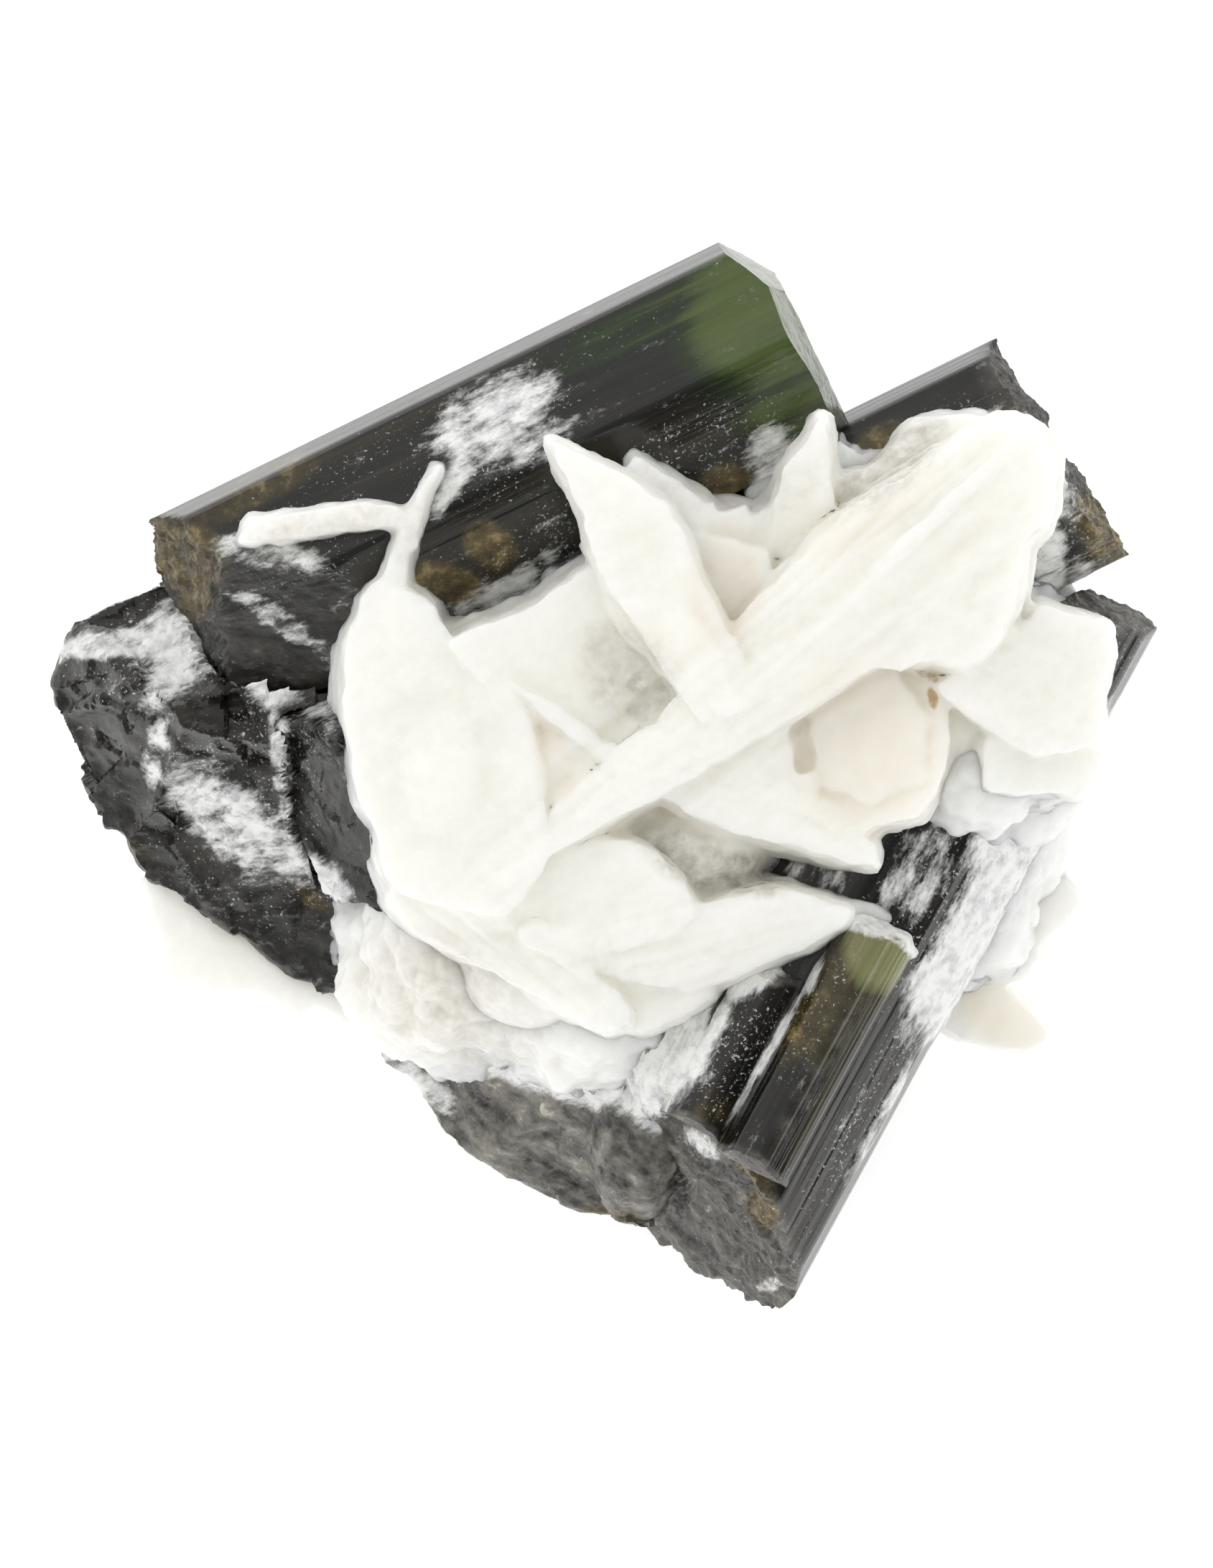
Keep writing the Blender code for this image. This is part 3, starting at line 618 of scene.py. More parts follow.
finish_piece(right_mesh, "right_prism", "tourmaline_right", smoky)

# %% [markdown]
# ### The lower prism and the two on its back
#
# The lower prism ends in a rough break. Two short prisms have grown on it side by side: one with an
# olive, nearly clear tip, and a narrow dark one beside it.

# %% Shapes and marks of the lower prisms
LOWER_SECTION = [
    (-16.5, 7.6), (-16.2, 9.6), (-14.0, 12.3), (-10.9, 13.2), (-8.2, 12.9), (-5.2, 9.8),
    (-5.3, 7.0), (-7.3, 3.8), (-10.5, 2.5), (-14.0, 3.2), (-16.0, 5.4),
]
SHORT_SECTION = [
    (-14.1, 11.4), (-13.95, 13.8), (-12.6, 15.1), (-11.4, 14.7), (-10.85, 13.4), (-10.85, 11.4),
]
SIDE_SECTION = [(-11.0, 11.4), (-10.75, 13.6), (-9.6, 14.2), (-8.4, 13.4), (-8.1, 11.4)]
VEIN = (6.4, -10.9, 3.4, 0.17, 60, 1.0)  # feldspar in the groove between the two short prisms
LOWER_MARKS = {
    "crust": [(17.8, -0.8, 4.6, 2.6, 60, 1.0), (15.4, -5.6, 4.2, 1.7, 61, 1.0),
              (13.8, -8.0, 2.6, 1.5, 61, 1.0), (12.6, -3.4, 2.2, 1.2, 61, 0.5),
              (2.4, -10.6, 3.4, 1.5, 62, 1.0), (8.6, -3.6, 1.4, 0.6, -10, 0.4),
              (11.0, -13.4, 3.0, 0.25, 61, 0.6), (3.9, -14.3, 1.0, 0.4, -40, 0.7),
              (6.7, -20.0, 0.6, 0.3, 20, 0.6)],
    "dust": [(13.5, -4.0, 5.0, 2.6, 60, 1.0), (5.6, -10.6, 4.0, 1.6, 61, 1.0),
             (11.0, -11.8, 7.0, 0.8, 61, 0.9), (4.4, -14.4, 1.2, 0.6, 0, 1.0),
             (6.0, -18.5, 3.0, 2.0, 0, 0.5), (20.4, 4.0, 4.0, 1.2, 61, 0.8)],
    "amber": [(6.3, -17.0, 0.6, 1.0, 30, 1.0), (5.6, -15.0, 1.8, 0.45, -45, 0.75)],
    "broken": [(3.0, -17.5, 4.5, 2.4, -35)],
}
SHORT_MARKS = {
    "clear": [(11.2, -6.2, 2.6, 2.0, 61), (9.8, -8.6, 4.2, 1.5, 61, 0.62),
              (8.9, -12.2, 4.6, 0.35, 61, 0.55)],
    "amber": [(8.6, -8.4, 3.4, 1.2, 61, 0.55), (7.6, -9.9, 0.4, 0.4, 0, 0.9)],
    "crust": [VEIN, (8.0, -7.6, 1.1, 0.5, 61, 0.8), (10.4, -5.5, 1.6, 0.5, -20, 1.0),
              (12.6, -6.8, 1.8, 0.4, -45, 1.0)],
    "dust": [(8.3, -9.2, 3.4, 1.1, 61, 0.8), (10.6, -10.2, 4.6, 0.3, 61, 0.8)],
    # The faint band below, along the short prism's top, is no break: it is a painted sheen, a grey streak
    # that stands in for a reflection of the light.
    "broken": [(8.8, -10.8, 4.4, 0.5, 61, 0.35)],
}
SIDE_MARKS = {
    "crust": [VEIN, (3.5, -10.3, 3.0, 1.0, 61, 1.0), (6.0, -7.6, 1.9, 0.7, 35, 0.9)],
    "dust": [(5.4, -10.8, 3.2, 1.6, 61, 1.0)],
    "amber": [(4.3, -12.8, 1.0, 1.0, 0, 0.45)],
}
LOWER_START_CUTS = [((-15.3, -16.5, 6.4), (-0.873, 0.275, 0.403)),
                    ((-14.6, -9.3, 3.4), (-0.74, 0.62, 0.26))]
LOWER_END_CUTS = [((-0.78, -1.10, 8.0), (0.581, 0.814, 0.0)), ((16.3, -16.3, 8.0), (0.95, 0.0, 0.30)),
                  ((16.3, -16.3, 8.0), (0.90, -0.1, -0.42))]
print("sections:", len(LOWER_SECTION), len(SHORT_SECTION), len(SIDE_SECTION), "corners")

# %% Build the lower prisms
olive = tourmaline("olive_tourmaline", LOWER_TREND, (0.003, 0.003, 0.0025), (0.024, 0.020, 0.013),
                   (0.034, 0.028, 0.007), (0.36, 0.37, 0.15), ash=1.7)
lower_mesh, lower_broken = prism(
    LOWER_TREND, LOWER_SECTION, -15.6, 17.2, LOWER_START_CUTS, LOWER_END_CUTS,
    seed=7, start_break=0.42, groove=0.075,
)
dress(lower_mesh, lower_broken, LOWER_MARKS)
finish_piece(lower_mesh, "lower_prism", "tourmaline_lower", olive)

short_mesh, short_broken = prism(
    LOWER_TREND, SHORT_SECTION, -10.7, 0.5,
    [((-10.2, -12.5, 15.0), (-0.90, 0.0, 0.44))],
    [((0.45, -12.6, 13.0), (0.95, 0.0, 0.30)), ((-0.2, -10.9, 13.5), (0.66, 0.74, 0.16)),
     ((-0.3, -14.0, 13.5), (0.62, -0.76, 0.16))],
    seed=11, start_break=0.12, finish_break=0.05, corner=0.3, size=0.6,
)
dress(short_mesh, short_broken, SHORT_MARKS)
finish_piece(short_mesh, "short_prism", "tourmaline_lower", olive)

side_mesh, side_broken = prism(
    LOWER_TREND, SIDE_SECTION, -10.4, -3.0,
    [((-10.1, -9.6, 14.2), (-0.94, 0.0, 0.34))], [((-3.2, -9.6, 13.6), (0.80, 0.3, 0.52))],
    seed=13, start_break=0.12, finish_break=0.2, corner=0.3, size=0.6,
)
dress(side_mesh, side_broken, SIDE_MARKS)
finish_piece(side_mesh, "side_prism", "tourmaline_lower", olive)

# %% [markdown]
# ## The broken prisms
#
# Three pieces show little but fracture. Sculpting would take a hand, and a plain noise gives soft
# lumps, where glassy stone breaks into flat chips with sharp edges. Their measured solids already
# have the right big facets, so a copy of each is remeshed finely. Then each cell of a cell noise
# tips its own way, once for broad chips and once for small ones, and splinters come last.


# %% Fine skins
def remeshed(mesh, cell, polish=0):
    """The mesh as one even skin of small squares, smoothed that many times."""
    holder = bpy.data.objects.new("remeshing", mesh)
    bpy.context.scene.collection.objects.link(holder)
    step = holder.modifiers.new("skin", "REMESH")
    step.mode = "VOXEL"
    step.voxel_size = cell
    if polish:
        worn = holder.modifiers.new("worn", "SMOOTH")
        worn.factor, worn.iterations = 0.5, polish
    graph = bpy.context.evaluated_depsgraph_get()
    made = bpy.data.meshes.new_from_object(holder.evaluated_get(graph))
    bpy.data.objects.remove(holder)
    return made


def node_copy(node):
    """A merged copy of a measured solid, in millimetres."""
    bm = bmesh.new()
    bm.from_mesh(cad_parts[node].data)
    bmesh.ops.scale(bm, vec=(1 / MM,) * 3, verts=bm.verts)
    return mesh_of(bm, node)


def add_lumps(bm, lumps):
    """Rounded lumps, each (centre, radii)."""
    for centre, radii in lumps:
        made = bmesh.ops.create_icosphere(bm, subdivisions=4, radius=1.0)["verts"]
        bmesh.ops.scale(bm, vec=radii, verts=made)
        bmesh.ops.translate(bm, vec=centre, verts=made)


print("measured solids:", len(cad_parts))

# %% Room for the crystals
CRYSTALS = [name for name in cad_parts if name.startswith("tourmaline")]
SINK = 0.15  # how far the feldspar reaches into the crystals, so that no gap shows


def carved(mesh):
    """The mesh with room for the crystals, which the feldspar has grown round."""
    core = bmesh.new()
    for node in CRYSTALS:
        copy = node_copy(node)
        put_back(copy, positions(copy) - SINK * directions(copy))
        core.from_mesh(copy)
    cutter = bpy.data.objects.new("crystals", mesh_of(core, "crystals"))
    target = bpy.data.objects.new("target", mesh)
    for made in (cutter, target):
        bpy.context.scene.collection.objects.link(made)
    step = target.modifiers.new("room", "BOOLEAN")
    step.operation, step.object, step.solver = "DIFFERENCE", cutter, "MANIFOLD"
    graph = bpy.context.evaluated_depsgraph_get()
    shaped = bpy.data.meshes.new_from_object(target.evaluated_get(graph))
    for made in (cutter, target):
        bpy.data.objects.remove(made)
    return shaped


print("the feldspar makes room for", len(CRYSTALS), "crystals")

# %% Chips
BROAD_CHIPS = (3.6, 0.36)  # size in millimetres, and slope
SMALL_CHIPS = (1.4, 0.24)
SPLINTER = 0.07  # how deep the small splinters go
INSET = 0.05  # the skin lies this far inside the solid before it is chipped
BROKEN_CELL = 0.16  # the squares of the remesh


def facets(points, size, slope, shift):
    """Flat chips of about that size, each tipped its own way by up to the slope."""
    heights = np.empty(len(points))
    for number, point in enumerate(points):
        place = Vector(point) / size + Vector((shift, shift, shift))
        middle = noise.voronoi(place)[1][0]
        tip = Vector([noise.noise(5.3 * middle + Vector((far, far, far))) for far in (3.1, 17.7, 41.9)])
        heights[number] = tip.dot(place - middle)
    return slope * size * heights


def fracture(node, seed, toward, reach, chip, lumps=()):
    """A measured solid with a glassy, chipped break all over, pressed up against its neighbour."""
    solid = bmesh.new()
    solid.from_mesh(node_copy(node))
    add_lumps(solid, lumps)
    mesh = remeshed(mesh_of(solid, node), BROKEN_CELL)
    points, normals = positions(mesh), directions(mesh)
    broad = chip * (facets(points, *BROAD_CHIPS, seed) + facets(points, *SMALL_CHIPS, seed + 7))
    x, y, z = points.T
    slivers = np.column_stack([x * 0.9 + y * 0.4, y * 2.2 - x, z * 1.5])
    small = rough(slivers, 1.3, 4, seed + 4)
    closer = reach * np.clip(normals @ np.array(toward), 0, 1)
    put_back(mesh, points + normals * (SPLINTER * small + broad + closer - INSET)[:, None])
    return mesh


print("chips are", BROAD_CHIPS[0], "and", SMALL_CHIPS[0], "mm wide")

# %% Marks of the broken pieces
LEFT_MARKS = {
    "crust": [(-19.2, 5.6, 3.2, 0.6, 6, 0.85), (-16.4, 6.0, 2.4, 1.4, 20, 0.95),
              (-14.0, 4.8, 2.4, 1.0, -45, 0.8), (-17.2, 4.2, 0.9, 1.6, -30, 0.75),
              (-14.9, -1.4, 3.1, 1.5, -42, 0.72), (-12.9, 1.0, 0.4, 3.2, 6, 0.62),
              (-17.9, 1.4, 0.5, 1.6, -10, 0.6), (-12.8, -2.8, 1.8, 0.9, -50, 0.62)],
    "dust": [(-15.2, -0.2, 3.4, 1.9, -35, 1.0), (-17.2, 5.4, 4.4, 2.2, 10, 1.0),
             (-13.6, 2.0, 1.6, 3.2, 0, 1.0), (-11.8, -3.6, 1.8, 1.6, 0, 1.0),
             (-15.5, -3.5, 4.5, 1.5, -35, 0.7)],
    "amber": [(-13.0, 4.4, 0.6, 1.2, 30, 0.7), (-11.6, -4.6, 0.9, 0.4, -30, 0.8),
              (-18.6, -2.7, 0.9, 0.4, -40, 0.5)],
    "glassy": [(-19.4, 4.0, 2.4, 1.0, 20), (-19.0, 1.9, 2.0, 1.2, 10), (-15.2, 2.2, 2.4, 1.5, 0),
               (-17.1, -1.2, 1.8, 0.8, 0), (-19.0, 7.0, 2.8, 0.9, 26), (-14.6, -5.6, 5.0, 0.7, -38, 0.5)],
}
MIDDLE_MARKS = {
    "dust": [(-12.2, 1.0, 1.2, 4.4, 0, 0.9)],
    "crust": [(-12.9, 1.4, 0.4, 2.8, 4, 0.7), (-11.6, 3.8, 1.0, 1.6, 30, 0.6),
              (-11.4, -3.9, 1.5, 0.9, -35, 0.9)],
    "amber": [(-12.2, -3.2, 0.5, 0.5, 0, 0.9)],
    "glassy": [(-11.2, 1.4, 1.2, 3.4, 8, 0.75)],
}
STUB_MARKS = {
    "dust": [(-1.0, -15.2, 2.2, 0.6, -50, 0.8), (-6.0, -12.0, 2.5, 0.8, -40, 0.5)],
    "amber": [(0.4, -17.2, 1.6, 0.3, -10, 0.7)],
    "crust": [(-3.0, -11.3, 4.6, 0.9, -18, 0.95), (1.8, -12.6, 2.4, 1.0, -38, 0.9),
              (-7.6, -11.8, 2.2, 0.6, -40, 0.7)],
}
print("marks on the left piece:", sum(map(len, LEFT_MARKS.values())))

# %% Build the broken pieces
# Each piece: the way to its neighbour, how far it reaches towards it, how coarse the chips are, its
# marks, how pale its break is, and lumps that fill it out where it meets its neighbour.
BROKEN = {
    "tourmaline_left": ((0.9, 0.4, 0), 0.5, 1.0, LEFT_MARKS, 0.55, []),
    "tourmaline_middle": ((-0.6, 0.8, 0), 0.5, 0.8, MIDDLE_MARKS, 0.3, []),
    "tourmaline_stub": ((0.9, 0.3, 0), 1.2, 0.5, STUB_MARKS, 2.7, [((0.9, -14.0, 5.6), (1.6, 3.6, 3.8))]),
}
for number, (node, (toward, reach, chip, marks, ash, lumps)) in enumerate(BROKEN.items()):
    black = tourmaline("black" + node.replace("tourmaline", ""), UPPER_TREND, (0.003, 0.003, 0.0025),
                       (0.034, 0.030, 0.020), ash=ash)
    chunk = fracture(node, 10.0 * number, toward, reach, chip, lumps)
    dress(chunk, 1.0, marks)
    finish_piece(chunk, node.replace("tourmaline_", "") + "_break", node, black)

# %% [markdown]
# ## The finish of albite
#
# Albite of this kind is nearly white and a little translucent, so light bleeds through thin edges
# and the shadows between blades stay soft. A matt white would look like plaster and a clear one like
# glass, so subsurface scattering does it. Painted layers add faint grey, honey and beige tints; much of
# the grey and beige is painted shade in hollows and under higher blades. The matrix gets more grain
# than the blades, and a paler tint that is a painted lift against the shade its low lumps get.


# %% Albite material
def albite(name, grain_depth, tint=(0.90, 0.89, 0.83)):
    """A white, slightly translucent mineral in thin sheets."""
    material = bpy.data.materials.new(name)
    tree = shader_tree(material)
    place = add(tree, "ShaderNodeTexCoord").outputs["Object"]
    clouds = noise_node(tree, place, 240.0)
    grain = noise_node(tree, place, 1900.0)
    sheets = noise_node(tree, stretched(tree, place, 30, (150, 900, 900)), 1.5)

    mottle = calculate(tree, "MULTIPLY", grain, 0.3)
    mottle = calculate(tree, "MULTIPLY_ADD", calculate(tree, "ADD", clouds, sheets), 0.35, mottle)
    base = ramp(tree, mottle, [(0.40, [0.95 * c for c in tint]), (0.56, tint)])
    # Beige: the beige plate's own colour, and painted shade in hollows and under higher blades.
    beige_and_shade = spread(tree, "beige_and_shade", clouds, 0.5, 0.45, 1.1)
    base = blend(tree, beige_and_shade, base, (0.84, 0.80, 0.72, 1))
    # Grey: partly a grey tone of the stone, mostly painted shade in hollows and under higher blades.
    smoke_and_shade = spread(tree, "smoke_and_shade", clouds, 0.5, 0.45, 1.1)
    ash = ramp(tree, grain, [(0.3, (0.40, 0.38, 0.34)), (0.7, (0.78, 0.76, 0.70))])
    base = blend(tree, smoke_and_shade, base, ash)
    honey = spread(tree, "honey", grain, 0.9, 0.80, 1.15)
    base = blend(tree, calculate(tree, "MULTIPLY", honey, 0.8), base, (0.50, 0.33, 0.13, 1))

    ridges = add(tree, "ShaderNodeBump", Height=sheets, Strength=0.3, Distance=0.0001)
    sugar = add(tree, "ShaderNodeBump", Height=grain, Strength=grain_depth, Distance=0.00016,
                Normal=ridges.outputs["Normal"])
    skin = add(tree, "ShaderNodeBsdfPrincipled", Base_Color=base, IOR=1.53, Roughness=0.42,
               Normal=sugar.outputs["Normal"])
    skin.inputs["Subsurface Weight"].default_value = 0.85
    skin.inputs["Subsurface Radius"].default_value = (1.0, 0.96, 0.88)
    skin.inputs["Subsurface Scale"].default_value = 0.0024
    add(tree, "ShaderNodeOutputMaterial", Surface=skin.outputs["BSDF"])
    return material


pearly = albite("pearly_albite", 0.18)
# The matrix's paler tint is a painted lift: it offsets the shade that its low lumps get under the blades.
sugary = albite("sugary_albite", 0.6, (0.93, 0.92, 0.87))
print("finishes:", pearly.name, "and", sugary.name)

# %% [markdown]
# ## The granular matrix
#
# The blades stand on a mass of small grains. Thousands of loose grains would be slow and would still
# show gaps, so a heap of swollen spheres is fused into one skin and roughened by a cell noise at two
# sizes. It is flat below, where the specimen lies, and leaves room for the crystals.

# %% Lumps and marks of the feldspar
# Each lump: its centre and its radii.
LUMPS = [((2.0, -0.5, 2.3), (13.5, 11.0, 3.6)), ((1.0, 2.0, 6.6), (11.6, 10.6, 8.2)),
         ((-5.2, -6.6, 5.2), (6.0, 5.0, 6.9)), ((11.5, 5.8, 7.2), (7.4, 7.0, 8.4)),
         ((0.2, -8.6, 5.6), (5.4, 4.2, 7.6)), ((9.5, 11.0, 8.0), (4.6, 3.4, 6.2)),
         ((-6.5, 3.0, 8.0), (4.0, 5.6, 7.0)), ((14.0, -2.6, 4.6), (4.6, 5.8, 4.8)),
         ((15.3, 1.0, 10.2), (3.9, 3.6, 4.6)), ((7.7, 9.1, 11.2), (2.7, 2.4, 4.4))]
ALBITE_MARKS = {
    # Grey marks: painted shade in the hollow under the fan, round the pit and on blades that the fan and
    # the leaf overhang; a grey tone on the lower-left matrix and on the thin strip over the long prism.
    "smoke_and_shade": [(3.6, -3.0, 2.6, 1.2, -25, 0.7), (5.8, -3.6, 1.8, 0.9, -15, 0.9),
              (1.0, 4.3, 2.6, 2.0, -50, 0.5), (1.4, 4.0, 0.6, 0.5, 0, 0.75),
              (-6.2, -8.9, 5.0, 3.0, -30, 0.5), (11.4, 12.8, 3.0, 1.3, 40, 0.62),
              (-11.2, 10.3, 4.0, 1.0, 8, 0.5), (-7.6, 10.6, 0.9, 2.4, -15, 0.5),
              (7.4, 12.2, 2.0, 1.4, 60, 0.35), (2.8, 12.2, 2.4, 1.2, -40, 0.4)],
    # Beige marks: the beige plate's own colour, and painted shade in the pit, the hollow, the recess, on
    # the window plate and along the fan's shaded upper strip.
    "beige_and_shade": [(10.6, 1.6, 3.6, 3.9, 0, 0.8), (4.8, 8.0, 1.6, 2.6, 0, 0.9), (1.0, 4.8, 2.2, 2.2, 0, 0.5),
              (-2.0, 1.0, 0.9, 1.8, 20, 0.7), (-6.8, -8.4, 3.4, 2.6, -30, 0.5),
              (16.4, -9.4, 2.4, 1.4, -20, 0.9), (10.6, 11.0, 4.0, 1.6, 40, 0.6),
              (3.0, -2.4, 2.0, 1.4, -25, 0.6), (6.0, 8.0, 9.0, 1.2, 40, 0.35)],
    "honey": [(13.0, 3.4, 0.25, 0.5, 10, 0.65), (12.8, 4.3, 0.6, 0.25, -30, 0.5),
              (-11.2, -4.0, 1.0, 0.5, -30, 0.5), (-7.4, -8.8, 1.6, 0.8, 30, 0.3)],
}


def tint_albite(mesh):
    """Paints the tints and the painted shade on what faces up."""
    points, upward = positions(mesh), np.clip(2 * directions(mesh)[:, 2] + 0.3, 0, 1)
    for layer in ("smoke_and_shade", "beige_and_shade", "honey"):
        paint(mesh, layer, spots(points, ALBITE_MARKS[layer]) * upward)


print("the matrix is a heap of", len(LUMPS), "lumps")

# %% Build the matrix
MATRIX_CELL = 0.17
heap = bmesh.new()
add_lumps(heap, LUMPS)
matrix_mesh = carved(remeshed(mesh_of(heap, "matrix"), MATRIX_CELL))
matrix_points, matrix_out = positions(matrix_mesh), directions(matrix_mesh)
swell = 0.8 * rough(matrix_points, 3.2, 4, 1.0) - 0.36 * grains(matrix_points, 1.1, 2.0) + 0.16
swell -= 0.16 * grains(matrix_points, 0.5, 6.0)
matrix_points += matrix_out * swell[:, None]
matrix_points[:, 2] = np.maximum(matrix_points[:, 2], 0.0)
put_back(matrix_mesh, matrix_points)
tint_albite(matrix_mesh)
finish_piece(matrix_mesh, "granular_matrix", "albite_cluster", sugary, sharp=60)

# %% [markdown]
# ## The blades
#
# A blade is a thin plate with a curved outline, and its side shows the edges of many thinner sheets.
# Each one is a stack of rings: the outline again and again, a little larger or smaller at each sheet
# and wider further down. A few low terraces lie on top, as cleavage leaves them. Joined by hand, two
# dozen blades would meet in hard seams, so a fine remesh fuses the blades of a group, and a little
# smoothing rounds their edges.

